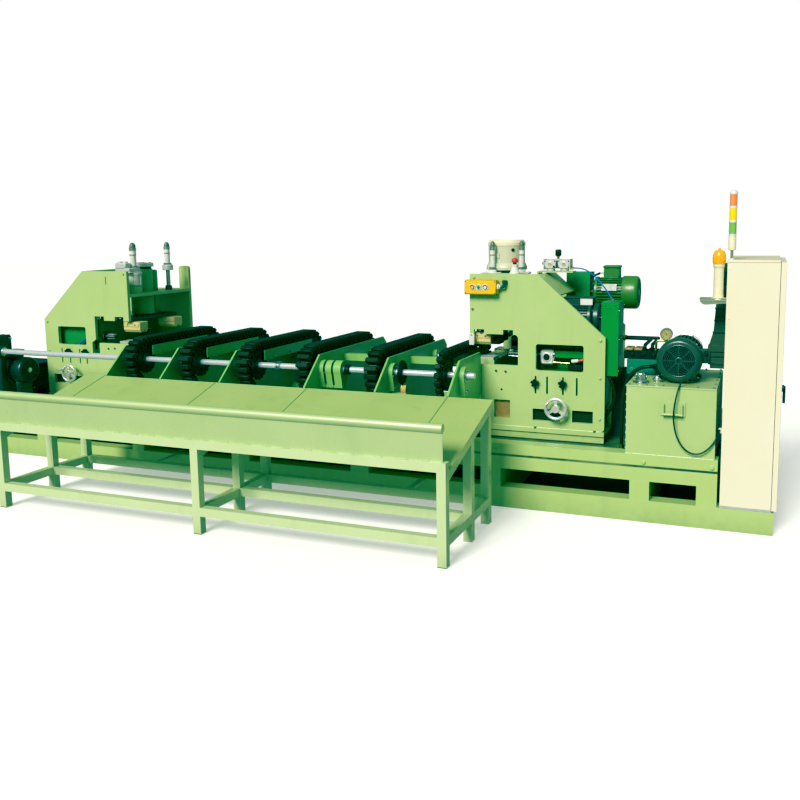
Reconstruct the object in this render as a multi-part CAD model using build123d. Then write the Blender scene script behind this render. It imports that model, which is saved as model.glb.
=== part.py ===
from build123d import *
import math
import os

os.makedirs("parts", exist_ok=True)

# ---------------------------------------------------------------- driving dimensions (mm)
# Machine datum: X along the bed, Y away from the operator, Z up.  X0 = right end of the
# bed, Y0 = front face of the bed.  Everything is moved by (OX, OY) at export, so that the
# part's origin is the middle of its footprint on the floor.
OX, OY = 3083.0, -224.0
BED_L, BED_D = 6200.0, 1500.0          # welded bed
RAIL_W = 100.0                         # front and rear long members
Z_SLOT0, Z_SLOT1 = 130.0, 245.0        # fork slots in the long members
Z_H1, Z_H2 = 316.0, 402.0              # top of the frame, top of the bolted side bars
SLOTS = [(-6060, -5280), (-5170, -4370), (-4270, -3470), (-3370, -2590), (-2460, -1680),
         (-1563, -783), (-671, -411)]
XB1 = -300.0                           # right end of the tall part of the bed
XR, XL = -1903.0, -4710.0              # inner faces of the right and left heads
HW, HTOP, ZTOP, ZCH = 893.0, 458.0, 1410.0, 1016.0   # head width, top width, top, chamfer end
YH, TH = 435.0, 28.0                   # front plate face, plate thickness
YHR = 1240.0                           # back face of the rear plate
ST_F, ST_R, Z_SP = 550.0, 980.0, 880.0  # front and rear bar stations, bar and spindle height
SADDLE_TRAVEL, CLAMP_TRAVEL, HEAD_TRAVEL = 20.0, 35.0, 150.0
Y_SH, Y_ID, Z_SH = 30.0, 790.0, 803.0  # conveyor drive shaft, idler shaft
R_SH, R_ID = 20.0, 17.5
CH_X = [-4262.0, -3792.0, -3322.0, -2867.0, -2377.0, -1929.0]   # middles of the chains
CH_W = [92.0] * 5 + [42.0]
CH_RO, CH_RI, SHOE_R = 160.0, 92.0, 40.0
PL_X = [-4376.0, -3912.0, -3433.0, -2793.0, -2298.0, -1821.0]   # right faces of the side plates
PL_T = 12.0
TUBE = 50.0                            # table square tube
TX = [-4531.0, -3065.0, -1581.0]       # left faces of the table legs
TY = [-1052.0, -649.0, -339.0]         # front faces of the table legs
CAB = (-284.0, -16.0, 0.0, 800.0, 130.0, 1514.0)
TANK = (-810.0, -318.0, 5.0, 700.0, 402.0, 797.0)
FIT = 0.08                             # running clearance on shafts

NODES = {}


def add(name, *shapes):
    for s in shapes:
        NODES.setdefault(name, []).extend(s.solids())


def B(x0, x1, y0, y1, z0, z1):
    x0, x1 = sorted((x0, x1))
    y0, y1 = sorted((y0, y1))
    z0, z1 = sorted((z0, z1))
    return Pos((x0 + x1) / 2, (y0 + y1) / 2, (z0 + z1) / 2) * Box(x1 - x0, y1 - y0, z1 - z0)


def CX(x0, x1, y, z, r):
    x0, x1 = sorted((x0, x1))
    return Pos((x0 + x1) / 2, y, z) * Rot(0, 90, 0) * Cylinder(r, x1 - x0)


def CY(x, y0, y1, z, r):
    y0, y1 = sorted((y0, y1))
    return Pos(x, (y0 + y1) / 2, z) * Rot(90, 0, 0) * Cylinder(r, y1 - y0)


def CZ(x, y, z0, z1, r):
    return Pos(x, y, (z0 + z1) / 2) * Cylinder(r, z1 - z0)


def PXZ(pts, y0, y1):
    f = make_face(Polyline(*[(x, y0, z) for x, z in pts], close=True))
    return extrude(f, amount=y1 - y0, dir=(0, 1, 0))


def PYZ(pts, x0, x1):
    f = make_face(Polyline(*[(x0, y, z) for y, z in pts], close=True))
    return extrude(f, amount=x1 - x0, dir=(1, 0, 0))


def round_y(shape, pick, r):
    es = [e for e in shape.edges().filter_by(Axis.Y) if pick(e.center())]
    return fillet(es, r) if es else shape


def belt(x0, x1, ya, za, yb, zb, ro, ri):
    """A closed belt round two equal pulleys, as two straight runs and two half rings."""
    L = math.hypot(yb - ya, zb - za)
    ang = math.degrees(math.atan2(zb - za, yb - ya))
    loc = Pos(0, (ya + yb) / 2, (za + zb) / 2) * Rot(ang, 0, 0)
    runs = [loc * B(x0, x1, -L / 2, L / 2, ri, ro), loc * B(x0, x1, -L / 2, L / 2, -ro, -ri)]
    ends = []
    for sgn in (-1, 1):
        ring = CX(x0, x1, sgn * L / 2, 0, ro) - CX(x0 - 1, x1 + 1, sgn * L / 2, 0, ri)
        half = B(x0 - 1, x1 + 1, sgn * L / 2, sgn * (L / 2 + ro + 1), -ro - 1, ro + 1)
        ends.append(loc * (ring & half))
    return runs + ends


def loop(x0, x1, wheels, t):
    """A closed chain of thickness t round wheels (y, z, radius), listed from the rear one over the top
    to the front one and back underneath, as one straight run and one arc for each wheel."""
    n, normals, out = len(wheels), [], []
    for i in range(n):
        (ya, za, ra), (yb, zb, rb) = wheels[i], wheels[(i + 1) % n]
        L = math.hypot(yb - ya, zb - za)
        a = math.atan2(zb - za, yb - ya) - math.acos((ra - rb) / L)
        c, s = math.cos(a), math.sin(a)
        normals.append(a)
        out.append(PYZ([(ya + ra * c, za + ra * s), (yb + rb * c, zb + rb * s),
                        (yb + (rb + t) * c, zb + (rb + t) * s), (ya + (ra + t) * c, za + (ra + t) * s)], x0, x1))
    for i, (y, z, r) in enumerate(wheels):
        a0, a1 = normals[i - 1], normals[i]
        while a1 < a0:
            a1 += 2 * math.pi
        far = 3 * (r + t)
        wedge = PYZ([(y, z)] + [(y + far * math.cos(a), z + far * math.sin(a)) for a in (a0, (a0 + a1) / 2, a1)],
                    x0 - 1, x1 + 1)
        out.append((CX(x0, x1, y, z, r + t) - CX(x0 - 1, x1 + 1, y, z, r)) & wedge)
    return out


# ---------------------------------------------------------------- bed
edges = [-BED_L] + [v for s in SLOTS for v in s] + [XB1]
posts = [(edges[i], edges[i + 1]) for i in range(0, len(edges), 2)]
for y0 in (0.0, BED_D - RAIL_W):
    y1 = y0 + RAIL_W
    add("bed_frame", B(-BED_L, 0, y0, y1, 0, Z_SLOT0))
    add("bed_frame", B(-BED_L, XB1, y0, y1, Z_SLOT1, Z_H1))
    for a, b in posts:
        add("bed_frame", B(a, b, y0, y1, Z_SLOT0, Z_SLOT1))
    add("bed_side_bars", B(-BED_L, XB1, y0, y1, Z_H1, Z_H2))
for a, b in posts:
    add("bed_frame", B(a, b, RAIL_W, BED_D - RAIL_W, 0, Z_H1))
add("bed_frame", B(-120, 0, RAIL_W, BED_D - RAIL_W, 0, Z_SLOT0))
add("bed_frame", B(-BED_L, XB1, RAIL_W, BED_D - RAIL_W, Z_H1, 332))
for yc in (560.0, 1120.0):
    add("bed_rails", B(-6150, -4250, yc - 40, yc + 40, 332, 368))
    add("bed_rails", B(-6150, -4250, yc - 15, yc + 15, 368, 383.5))
    add("bed_rails", B(XR, XR + HW, yc - 40, yc + 40, 332, 384))
add("bed_rails", B(-4450, -1950, 640, 700, 332, Z_H2))          # conveyor support beam
add("bed_rails", B(TANK[0], TANK[1], 620, 690, 332, Z_H2))      # tank rear support

# ---------------------------------------------------------------- collecting table
z_leg = [497.0, 541.0, 632.0]
for x in TX:
    for y, zt in zip(TY, z_leg):
        add("table_frame", B(x, x + TUBE, y, y + TUBE, 0, zt))
for i in range(2):                                              # lower stretchers, long
    for y in TY:
        add("table_frame", B(TX[i] + TUBE, TX[i + 1], y, y + TUBE, 108, 158))
for x in TX:                                                    # lower stretchers, across
    for j in range(2):
        add("table_frame", B(x, x + TUBE, TY[j] + TUBE, TY[j + 1], 108, 158))
slope = (720.0 - 500.0) / (-254.0 + 1002.0)


def z_ch(y):
    return 500.0 + (y + 1002.0) * slope


add("table_frame", B(TX[0], TX[2] + TUBE, -1052, -1002, 497, 547))
for y, zt in ((TY[1], z_leg[1]), (TY[2], z_leg[2])):
    add("table_frame", PYZ([(y, zt), (y + TUBE, zt), (y + TUBE, z_ch(y + TUBE) - 3.2),
                            (y, z_ch(y) - 3.2)], TX[0], TX[2] + TUBE))
for x in TX:                                                    # sloping end and middle rails
    for ya, yb in ((-1002.0, TY[1]), (TY[1] + TUBE, TY[2]), (TY[2] + TUBE, -254.0)):
        add("table_frame", PYZ([(ya, z_ch(ya) - 53.2), (yb, z_ch(yb) - 53.2), (yb, z_ch(yb) - 3.2),
                                (ya, z_ch(ya) - 3.2)], x, x + TUBE))
for x in (-4000.0, -2100.0):                                    # ties from the table to the bed
    add("table_frame", B(x, x + 40, TY[2] + TUBE, 0, 113, 128))
add("chute_sheet", PYZ([(-1002, z_ch(-1002) - 3), (-254, z_ch(-254) - 3), (-250, z_ch(-254)),
                        (-1002, z_ch(-1002))], TX[0], TX[2] + TUBE))
ROLL_Y, ROLL_Z, ROLL_R = -1028.0, 719.0, 24.0
# upright front sheet, its top edge rolled forwards into a tube that overhangs the sheet
roll = CX(TX[0], -1553, ROLL_Y, ROLL_Z, ROLL_R) - CX(TX[0] - 1, -1552, ROLL_Y, ROLL_Z, ROLL_R - 3)
add("table_front_sheet", roll + B(TX[0], -1553, ROLL_Y - 5, ROLL_Y - 2, 547, ROLL_Z - ROLL_R + 2))

# ---------------------------------------------------------------- bar conveyors
for i, (cx, w, px) in enumerate(zip(CH_X, CH_W, PL_X)):
    a, b = cx - w / 2, cx + w / 2
    shoes = [(150.0, 520.0), (740.0, 520.0)] if i < 5 else [(110.0, 525.0), (240.0, 525.0)]
    add("conveyor_chains", *loop(a, b, [(Y_ID, Z_SH, CH_RI), (Y_SH, Z_SH, CH_RI)] + [(*s, SHOE_R) for s in shoes],
                                 CH_RO - CH_RI))
    for y, z in shoes:                                             # round shoes that carry the return
        add("conveyor_plates", CX(px if i < 3 else px - PL_T, b if i < 3 else a, y, z, SHOE_R - 0.5))
    if i < 5:
        pts = [(0, 899), (1010, 899), (1064, 850), (1064, 750), (720, Z_H2), (20, Z_H2),
               (-170, 620), (-215, 717)]
    else:
        pts = [(0, 899), (400, 899), (415, 880), (415, 640), (260, Z_H2), (20, Z_H2),
               (-170, 620), (-215, 717)]
    pl = PYZ(pts, px - PL_T, px) - CX(px - 20, px + 5, Y_SH, Z_SH, R_SH + 5)
    if i < 5:
        pl = pl - CX(px - 20, px + 5, Y_ID, Z_SH, R_ID + 5)
    add("conveyor_plates", pl)
    # flanged bearing on the outer side of the plate, teardrop lug seen from the side
    outer = (px - PL_T - 32, px - PL_T) if i < 3 else (px, px + 32)
    lug = CX(*outer, Y_SH, Z_SH, 58) + PYZ([(Y_SH - 58, Z_SH), (Y_SH + 58, Z_SH), (Y_SH + 30, Z_SH - 120),
                                             (Y_SH - 30, Z_SH - 120)], *outer)
    add("conveyor_plates", lug - CX(outer[0] - 1, outer[1] + 1, Y_SH, Z_SH, R_SH + FIT))
    if i < 5:
        add("conveyor_plates", CX(*outer, Y_ID, Z_SH, 45) - CX(outer[0] - 1, outer[1] + 1, Y_ID, Z_SH, R_ID + FIT))
    # slim side rail on the other side of the chain and its spacers through the loop
    yr1 = 740.0 if i < 5 else 420.0
    ys = (200.0, 420.0, 640.0) if i < 5 else (150.0, 330.0)
    if i < 3:
        rx0, rx1, s0, s1 = b + 6, b + 14, px, b + 6
    else:
        rx0, rx1, s0, s1 = a - 14, a - 6, a - 6, px - PL_T
    add("conveyor_plates", B(rx0, rx1, 80, yr1, 830, 897))
    for y in ys:
        add("conveyor_plates", CX(s0, s1, y, 848, 11))
add("conveyor_shaft", CX(-5905, -1735, Y_SH, Z_SH, R_SH))
add("conveyor_idler_shaft", CX(-4430, -1912, Y_ID, Z_SH, R_ID))
for cx, w in zip(CH_X, CH_W):                                   # sprockets, each with a long hub on its left
    h0, h1 = cx - w / 2 - (58 if w > 50 else 40), cx + w / 2 - 4
    for nm, y, r, rh in (("conveyor_shaft", Y_SH, R_SH, 34), ("conveyor_idler_shaft", Y_ID, R_ID, 26)):
        spr = CX(cx - w / 2 + 4, h1, y, Z_SH, 86) + CX(h0, h1, y, Z_SH, rh)
        add(nm, spr - CX(h0 - 1, h1 + 1, y, Z_SH, r + 0.03))
for x, t, r in ((-3140.0, 34, 32), (-2622.0, 34, 32), (-2226.0, 12, 79)):   # clamp collars, index disc
    add("conveyor_shaft", CX(x, x + t, Y_SH, Z_SH, r) - CX(x - 1, x + t + 1, Y_SH, Z_SH, R_SH + 0.03))
# two more bearing flanges on the fourth conveyor, on a foot off its plate
flanges = B(PL_X[3], -2634, 5, 55, 683, 699)
for x0, x1 in ((-2744.0, -2702.0), (-2686.0, -2634.0)):
    flanges = flanges + CX(x0, x1, Y_SH, Z_SH, 58) + PYZ([(Y_SH - 58, Z_SH), (Y_SH + 58, Z_SH), (Y_SH + 30, Z_SH - 120),
                                                          (Y_SH - 30, Z_SH - 120)], x0, x1)
lug4 = B(PL_X[3] - 1, PL_X[3] + 32, Y_SH - 60, Y_SH + 60, 600, 900)
add("conveyor_plates", flanges - CX(-2750, -2620, Y_SH, Z_SH, R_SH + FIT) - lug4)
add("conveyor_plates", B(PL_X[3], -2437, 345, 395, 812, 858), B(PL_X[4], -1964, 345, 395, 812, 858))   # cross ties
# shaft-mounted gear motor at the left end, on a post
gx = -5860.0
gear = B(gx - 10, gx + 90, -35, 290, 530, 905) - CX(gx - 60, gx + 130, Y_SH, Z_SH, R_SH + FIT)
add("conveyor_gear_motor", gear)
add("conveyor_gear_motor", CX(gx + 90, -5500, 175, 640, 105) + CX(-5500, -5488, 175, 640, 60))
add("conveyor_gear_motor", B(-5750, -5520, 105, 245, 332, 560) - CX(-5760, -5500, 175, 640, 105))
add("conveyor_gear_motor", B(gx + 5, gx + 75, 0, 95, Z_H2, 530))
add("conveyor_gear_motor", B(-5640, -5600, 0, 60, Z_H2, 765))
add("conveyor_gear_motor", B(-5650, -5590, -20, 80, 765, 845) - CX(-5660, -5580, Y_SH, Z_SH, R_SH + FIT))
# dark drive housing left of the left head, on feet beside the rails
add("conveyor_gear_motor", B(-6150, -5775, 450, 800, 395, 625) + B(-6150, -5775, 450, 512, 332, 396)
    + B(-6150, -5775, 610, 800, 332, 396))


# ---------------------------------------------------------------- heads
def head(side):
    right = side == "right"

    def mx(u):
        return XR + u if right else XL - u

    def b(u0, u1, y0, y1, z0, z1):
        return B(mx(u0), mx(u1), y0, y1, z0, z1)

    def cx(u0, u1, y, z, r):
        return CX(mx(u0), mx(u1), y, z, r)

    def pxz(pts, y0, y1):
        return PXZ([(mx(u), z) for u, z in pts], y0, y1)

    P = side + "_head_plates"
    hw, htop, zch = (HW, HTOP, ZCH) if right else (857.0, 438.0, 1020.0)
    # bottom plate, on pads (right) or on runner blocks (left)
    add(P, b(0, hw, YH - 10, YHR + 10, 384, 412))
    if not right:
        for yc in (560.0, 1120.0):
            for u in (60.0, 690.0):
                blk = b(u, u + 140, yc - 38, yc + 38, 369, 384) - b(u - 1, u + 141, yc - 15.5, yc + 15.5, 368, 384.0)
                add(P, blk)
    # front plate
    fp = pxz([(0, 412), (hw, 412), (hw, zch), (htop, ZTOP), (0, ZTOP)], YH, YH + TH)

    def hole(u0, u1, z0, z1, r=0.0):
        h = b(u0, u1, YH - 2, YH + TH + 2, z0, z1)
        return round_y(h, lambda c: True, r) if r else h

    if right:
        cut = round_y(hole(-2, 329, 815, 1017), lambda c: abs(c.X - mx(329)) < 1 and c.Z > 1000, 26)
        fp = fp - cut - hole(29, 98, 1010, 1047) - hole(228, 295, 1010, 1047) - hole(447, 757, 790, 962, 16)
        fp = fp - hole(58, 68, 700, 734, 4.5) - CY(mx(218), YH - 2, YH + TH + 2, 652, 8)
        slots, zs0, zs1 = (447, 523, 627, 716), 636, 754
        lower = ((428, 610, 460, 538), (687, 821, 461, 541), (166, 276, 463, 584))
        wheel, knobs = (595, 557), (("a", 447, 711), ("b", 627, 713))
    else:                                                          # the left cut-out steps down at its outer end
        fp = fp - hole(-2, 338, 840, 1020) - hole(53, 138, 1010, 1053) - hole(244, 338, 1010, 1053)
        fp = fp - pxz([(303, 755), (377, 755), (377, 843), (338, 868), (303, 868)], YH - 2, YH + TH + 2)
        fp = fp - hole(437, 721, 817, 963, 16) - hole(201, 209, 1305, 1367, 3.5)
        slots, zs0, zs1 = (440, 511, 611, 694), 665, 785
        lower = ((420, 590, 490, 562), (676, 791, 500, 570), (166, 276, 463, 584))
        wheel, knobs = (576, 591), (("a", 440, 762), ("b", 611, 760))
    for u in slots:
        fp = fp - hole(u - 6, u + 6, zs0, zs1, 5.5)
    for q in lower:
        fp = fp - hole(*q)
    fp = fp - CY(mx(wheel[0]), YH - 2, YH + TH + 2, wheel[1], 12.0)
    fp = round_y(fp, lambda c: abs(c.X - mx(hw)) < 1 and c.Z < 430, 24)
    add(P, fp)
    # rear plate, and an upright finger on its inner end
    fall = (ZTOP - zch) / (hw - htop)
    add(P, pxz([(0, 412), (hw, 412), (hw, zch), (htop + (ZTOP - 1229) / fall, 1229), (0, 1229)], YHR - TH, YHR))
    add(P, round_y(b(0, 100, YHR - TH, YHR, 1229, 1420), lambda c: c.Z > 1400, 24))
    # shelf round the clamp cylinder and its guide column
    sh = b(0, 430, YH + TH, YHR - TH, 1204, 1229)
    sh = sh - CZ(mx(150), 790, 1200, 1232, 90.0) - CZ(mx(150), 930, 1200, 1232, 38.0)
    add(P, sh)
    add(P, b(15, 150, 490, 1195, 412, 835))                        # bar rest pedestal
    for y in (ST_F, ST_R):                                         # pads under the bar
        add(P, b(20, 145, y - 62, y + 62, 835, 852))
    for y in (500.0, 1100.0):                                      # ways under the saddle
        add(P, b(170, hw - 25, y, y + 60, 412, 480))
    zf = ZTOP - fall * (600 - htop)
    add(P, pxz([(htop, ZTOP), (600, zf), (600, zf - 8), (htop, ZTOP - 8)], YH + TH, 900))
    if right:
        add(P, b(877, 893, 690, 830, 412, 1020))                   # bulkhead for the hydraulic pipes
        add(P, b(60, 330, YH + TH, 560, 1395, ZTOP))               # bracket for the stop button
        add(P, b(400, 640, 640, 745, 1412, 1420), b(400, 412, 640, 745, 1229, 1412))
    # ---- saddle with its two end plates, web and motor plate
    S = side + "_saddle"
    e0, e1 = (800, 830) if right else (775, 805)                   # outer end plate
    drives = [] if right else [(620.0, 720.0, 14.0), (1060.0, 700.0, 14.0)]
    add(S, b(205, e1 + 15, 480, 1195, 480.6, 505))
    for u0, u1, more in ((345, 375, []), (e0, e1, drives)):
        p = b(u0, u1, 490, 1195, 505, 1000)
        for y, z, r in [(ST_F, Z_SP, R_SH), (ST_R, Z_SP, R_SH)] + more:
            p = p - cx(u0 - 1, u1 + 1, y, z, r + FIT)
        add(S, p)
    add(S, b(375, e0, 735, 752, 505, 1000))
    mp = b(345, e1, 490, 1195, 1000, 1020)
    if right:
        mp = mp - b(610, 690, 895, 1065, 999, 1021)
        add(S, b(735, 830, 915, 1045, 1020, 1150))                 # rear motor stool
        hood = b(540, 700, 905, 1072, 1020, 1400) - b(543, 697, 908, 1069, 1019, 1397)
        add(S, hood - cx(690, 705, 980, 1265, 16))                 # hood over the rear belt
    else:
        add(S, b(375, e0, 498, 602, 805, 965) - cx(374, e0 + 1, ST_F, Z_SP, 36))   # cover round the front spindle
    add(S, mp)
    add(S, b(480, 712, 696, 718, 505, wheel[1] - 20.5))            # rack
    # ---- motors, belts, motor pulleys: on top of the right saddle, inside the left one
    M = side + "_motors"
    if right:
        front = cx(480, 800, 600, 1125, 100) + b(520, 760, 520, 680, 1020, 1060) + b(600, 795, 550, 650, 1210, 1262)
        front = front - cx(755, 801, 600, 1125, 14 + FIT)
        add(M, front)
        rear = cx(712, 1020, 980, 1265, 113) + b(735, 830, 915, 1045, 1150, 1190) + b(782, 897, 930, 1030, 1360, 1447)
        rear = rear - cx(711, 760, 980, 1265, 14 + FIT)
        add(M, rear)
        add(M, *belt(*sorted((mx(884), mx(916))), 600, 1125, ST_F, Z_SP, 62, 57))
        add(M, *belt(*sorted((mx(634), mx(666))), 980, 1265, ST_R, Z_SP, 62, 57))
        add(side + "_front_motor_pulley", cx(760, 935, 600, 1125, 14) + cx(880, 920, 600, 1125, 55))
        add(side + "_rear_motor_pulley", cx(626, 755, 980, 1265, 14) + cx(630, 670, 980, 1265, 55))
    else:
        for st, ys, (y, z, r), rm in (("front", ST_F, drives[0], 80), ("rear", ST_R, drives[1], 95)):
            m = cx(400, 735, y, z, rm) + b(420, 510, y - 50, y + 50, 505, z - 40) + b(620, 710, y - 50, y + 50, 505, z - 40)
            add(M, m - cx(690, 736, y, z, r + FIT))
            add(M, *belt(*sorted((mx(824), mx(856))), y, z, ys, Z_SP, 51, 47))
            add(side + "_" + st + "_motor_pulley", cx(692, 872, y, z, r) + cx(820, 860, y, z, 45))
    # ---- spindles: cutter, flange, shaft, lock nut, pulley
    for st, ys in (("front", ST_F), ("rear", ST_R)):
        ue, up, rp = (872, 820, 45) if not right else ((938, 880, 55) if st == "front" else (838, 630, 55))
        sp = cx(228, 330, ys, Z_SP, 24) + cx(330, 344, ys, Z_SP, 40) + cx(344, ue, ys, Z_SP, R_SH)
        add(side + "_" + st + "_spindle", sp + cx(480, 555, ys, Z_SP, 33) + cx(up, up + 40, ys, Z_SP, rp))
    # ---- belt guard, open towards the saddle, on two brackets off the front plate
    if right:
        g = b(858, 965, 478, 682, 770, 1235) - b(850, 962, 481, 679, 773, 1232)
        g = g + b(858, 890, YH + TH, 478, 800, 830) + b(858, 890, YH + TH, 478, 960, 990)
        # hose fitting on top of the guard
        g = g + extrude(Plane(origin=(-1000, 590, 1250), z_dir=(30, -17, -43)) * Circle(7), 26)
    else:
        g = b(828, 900, 486, 1128, 630, 950) - b(820, 897, 489, 1125, 633, 947)
        g = g + b(800, 870, YH + TH, 487.5, 700, 730) + b(800, 870, YH + TH, 487.5, 880, 910)
    add(side + "_belt_guard", g)
    # ---- clamp: cylinder and guide column through the shelf, bridge, two jaws
    C = side + "_clamp_cylinder"
    zc, zj = (1075, 940) if right else (1046, 930)                 # underside of the cylinder, of the jaws
    zb0, zb1 = (1022, 1055) if right else (1012, 1040)             # bridge
    add(C, CZ(mx(150), 790, zc, 1430, 90.0) - CZ(mx(150), 790, zc - 1, 1320, 30 + FIT))
    add(C, CZ(mx(150), 930, zc, 1400, 38.0) - CZ(mx(150), 930, zc - 1, 1330, 18 + FIT))
    if right:
        add(C, CZ(mx(150), 790, 1430, 1625, 127))
        for u, y in ((95, 640), (285, 680)):
            add(C, CZ(mx(u), y, 1229, 1300, 30) + CZ(mx(u), y, 1300, 1600, 22) + Pos(mx(u), y, 1600) * Sphere(22))
    else:
        add(C, CZ(mx(150), 790, 1430, 1462, 100))
        # front: stand, bowl, valve body with its block, sight tube; rear: stand, pipe, collar, sight tube
        add(C, CZ(mx(85), 625, 1229, 1285, 58) + CZ(mx(85), 625, 1285, 1390, 64) + b(50, 190, 530, 665, 1390, 1430)
            + b(80, 185, 525, 590, 1425, 1482) + CZ(mx(85), 625, 1430, 1598, 31) + Pos(mx(85), 625, 1598) * Sphere(31))
        add(C, CZ(mx(55), 1010, 1229, 1268, 28) + CZ(mx(55), 1010, 1268, 1395, 17) + CZ(mx(55), 1010, 1395, 1440, 44)
            + CZ(mx(55), 1010, 1440, 1598, 29) + Pos(mx(55), 1010, 1598) * Sphere(29))
    br = b(30, 235, 480, 1070, zb0, zb1) + CZ(mx(150), 790, zb1 - 5, 1270, 30) + CZ(mx(150), 930, zb1 - 5, 1290, 18)
    add(side + "_clamp", br)
    u0, u1, jaws = (5, 130, ((476, 636), (900, 1060))) if right else (-70, 90, ((476, 572), (900, 1006)))
    for y0, y1 in jaws:
        add(side + "_clamp", b(u0, u1, y0, y1, zj, zb0))
    # ---- handwheel with its shaft and pinion
    hx, hz = mx(wheel[0]), wheel[1]
    w = Pos(hx, 372, hz) * Rot(90, 0, 0) * Torus(64, 11)
    w = w + CY(hx, 356, 398, hz, 24) + CY(hx, 380, 715, hz, 11.9) + CY(hx, 696, 715, hz, 19.5)
    for k in range(3):
        a = math.radians(90 + 120 * k)
        arm = Pos(hx + 42 * math.cos(a), 372, hz + 42 * math.sin(a)) * Rot(0, -math.degrees(a), 0) * Box(44, 11, 20)
        w = w + arm
    ga = math.radians(150)
    w = w + CY(hx + 64 * math.cos(ga), 300, 372, hz + 64 * math.sin(ga), 9)
    add(side + "_handwheel", w)
    # ---- star knobs in the vertical slots
    for tag, u, z in knobs:
        k = CY(mx(u), 398, 424, z, 15) + CY(mx(u), 424, 434.6, z, 13) + CY(mx(u), 430, 474, z, 5)
        for n in range(5):
            t = math.radians(90 + 72 * n)
            k = k + CY(mx(u) + 18 * math.cos(t), 400, 422, z + 18 * math.sin(t), 9)
        k = k + CY(mx(u), 463.4, 474, z, 13)
        add(side + "_star_knob_" + tag, k)


head("right")
head("left")

# ---------------------------------------------------------------- push buttons and stop on the right head
bb = B(-1922, -1702, 373, 435, 1278, 1374)
bx = (-1863.0, -1819.0, -1775.0)
for x in bx:
    bb = bb - CY(x, 372, 420, 1327, 14.4)
bb = bb + CX(-1702, -1664, 404, 1330, 11) + CZ(-1660, 404, 1318, 1372, 13)
add("button_box", bb)
for nm, x in zip(("yellow_button", "green_button", "white_button"), bx):
    add(nm, CY(x, 362, 410, 1327, 14))
ex, ey = -1618.0, 512.0
add("button_box", CZ(ex, ey, ZTOP, 1470, 34) - CZ(ex, ey, 1425, 1471, 12.3))
add("emergency_stop_button", CZ(ex, ey, 1436, 1490, 12) + CZ(ex, ey, 1482, 1514, 21))

# ---------------------------------------------------------------- air service unit and its hose
ax0 = XR + 439
au = B(ax0, ax0 + 180, 650, 735, 1420, 1500) - CZ(ax0 + 92, 692, 1450, 1501, 8.3)
add("air_unit", au)
add("air_unit", CX(ax0 + 180, ax0 + 198, 692, 1440, 9))
add("regulator_knob", CZ(ax0 + 92, 692, 1462, 1530, 8) + CZ(ax0 + 92, 692, 1520, 1562, 20))


def cord(name, pts, d):
    """Round tube along straight runs joined by the largest tangent arcs that fit."""
    v = [Vector(*p) for p in pts]
    radii = []
    for i in range(1, len(v) - 1):
        p, q = v[i] - v[i - 1], v[i + 1] - v[i]
        turn = math.radians(p.get_angle(q))
        radii.append(0.45 * min(p.length, q.length) / math.tan(turn / 2))
    path = FilletPolyline(*[tuple(p) for p in v], radius=radii)
    t = Plane(origin=v[0], z_dir=(v[1] - v[0]).normalized())
    tube = sweep(t * Circle(d / 2), path=path)
    print(name, "radii", [round(r) for r in radii], "length", round(path.length, 1),
          "volume ratio", round(tube.volume / (path.length * math.pi * d * d / 4), 4))
    add(name, tube)


AIR = [(ax0 + 198, 692, 1440), (-1218, 692, 1440), (-1168, 678, 1420), (-1116, 654, 1384), (-1070, 630, 1338),
       (-1030, 607, 1293), (-1000, 590, 1250)]
cord("air_hose", AIR, 9.0)

# ---------------------------------------------------------------- hydraulic power unit
tx0, tx1, ty0, ty1, tz0, tz1 = TANK
add("tank", B(tx0, tx1, ty0, ty1, tz0, tz1) - B(tx0 + 5, tx1 - 5, ty0 + 5, ty1 - 5, tz0 + 5, tz1 + 1))
add("tank", B(tx0 - 4, tx1, ty0 - 3, ty1, tz1, 805))
# bow handle on the front
hb = CX(-605, -494, -26, 652, 6)
for x in (-600.0, -499.0):
    hb = hb + CY(x, -26, -3, 652, 6) + CZ(x, -26, 646, 706, 5) + CY(x, -26, -3, 706, 6)
hb = hb + B(-618, -481, -3, 5, 640, 720)
add("tank_handle", hb)
cap_x, cap_y = -742.0, 95.0
add("pump_unit", CZ(cap_x, cap_y, 805, 830, 34) - CZ(cap_x, cap_y, 812, 831, 20 + 0.3))
add("filler_cap", CZ(cap_x, cap_y, 814, 832, 20) + CZ(cap_x, cap_y, 830.6, 866, 32))
add("pump_unit", CZ(-655, 150, 805, 845, 30))
pm_x, pm_z = -535.0, 940.0
pm = CY(pm_x, 190, 470, pm_z, 112) - CY(pm_x, 189, 471, pm_z, 19 + FIT)
pm = pm + (B(pm_x - 105, pm_x + 105, 230, 290, 805, 850) - CY(pm_x, 189, 471, pm_z, 60))
pm = pm + (B(pm_x - 105, pm_x + 105, 370, 430, 805, 850) - CY(pm_x, 189, 471, pm_z, 60))
pm = pm + B(pm_x + 85, pm_x + 160, 260, 380, 905, 985) + CY(-395, 240, 262, 970, 10)
add("pump_motor", pm)
cowl = CY(pm_x, 100, 190, pm_z, 127) - CY(pm_x, 104, 191, pm_z, 123) - CY(pm_x, 99, 105, pm_z, 12)
cowl = cowl + (CY(pm_x, 186, 190, pm_z, 124) - CY(pm_x, 185, 191, pm_z, 111.5))
add("pump_motor", cowl)
rot = CY(pm_x, 112, 560, pm_z, 19) + CY(pm_x, 120, 160, pm_z, 40)
for k in range(7):
    a = 360 / 7 * k
    rot = rot + Pos(pm_x, 140, pm_z) * Rot(0, a, 0) * Pos(72, 0, 0) * Box(72, 36, 4)
add("pump_motor_rotor", rot)
bell = CY(pm_x, 470, 600, pm_z, 105) - CY(pm_x, 469, 590, pm_z, 80)
add("pump_unit", bell + CY(pm_x, 600, 690, pm_z, 60) - CY(pm_x, 540, 600.5, pm_z, 30))
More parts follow.
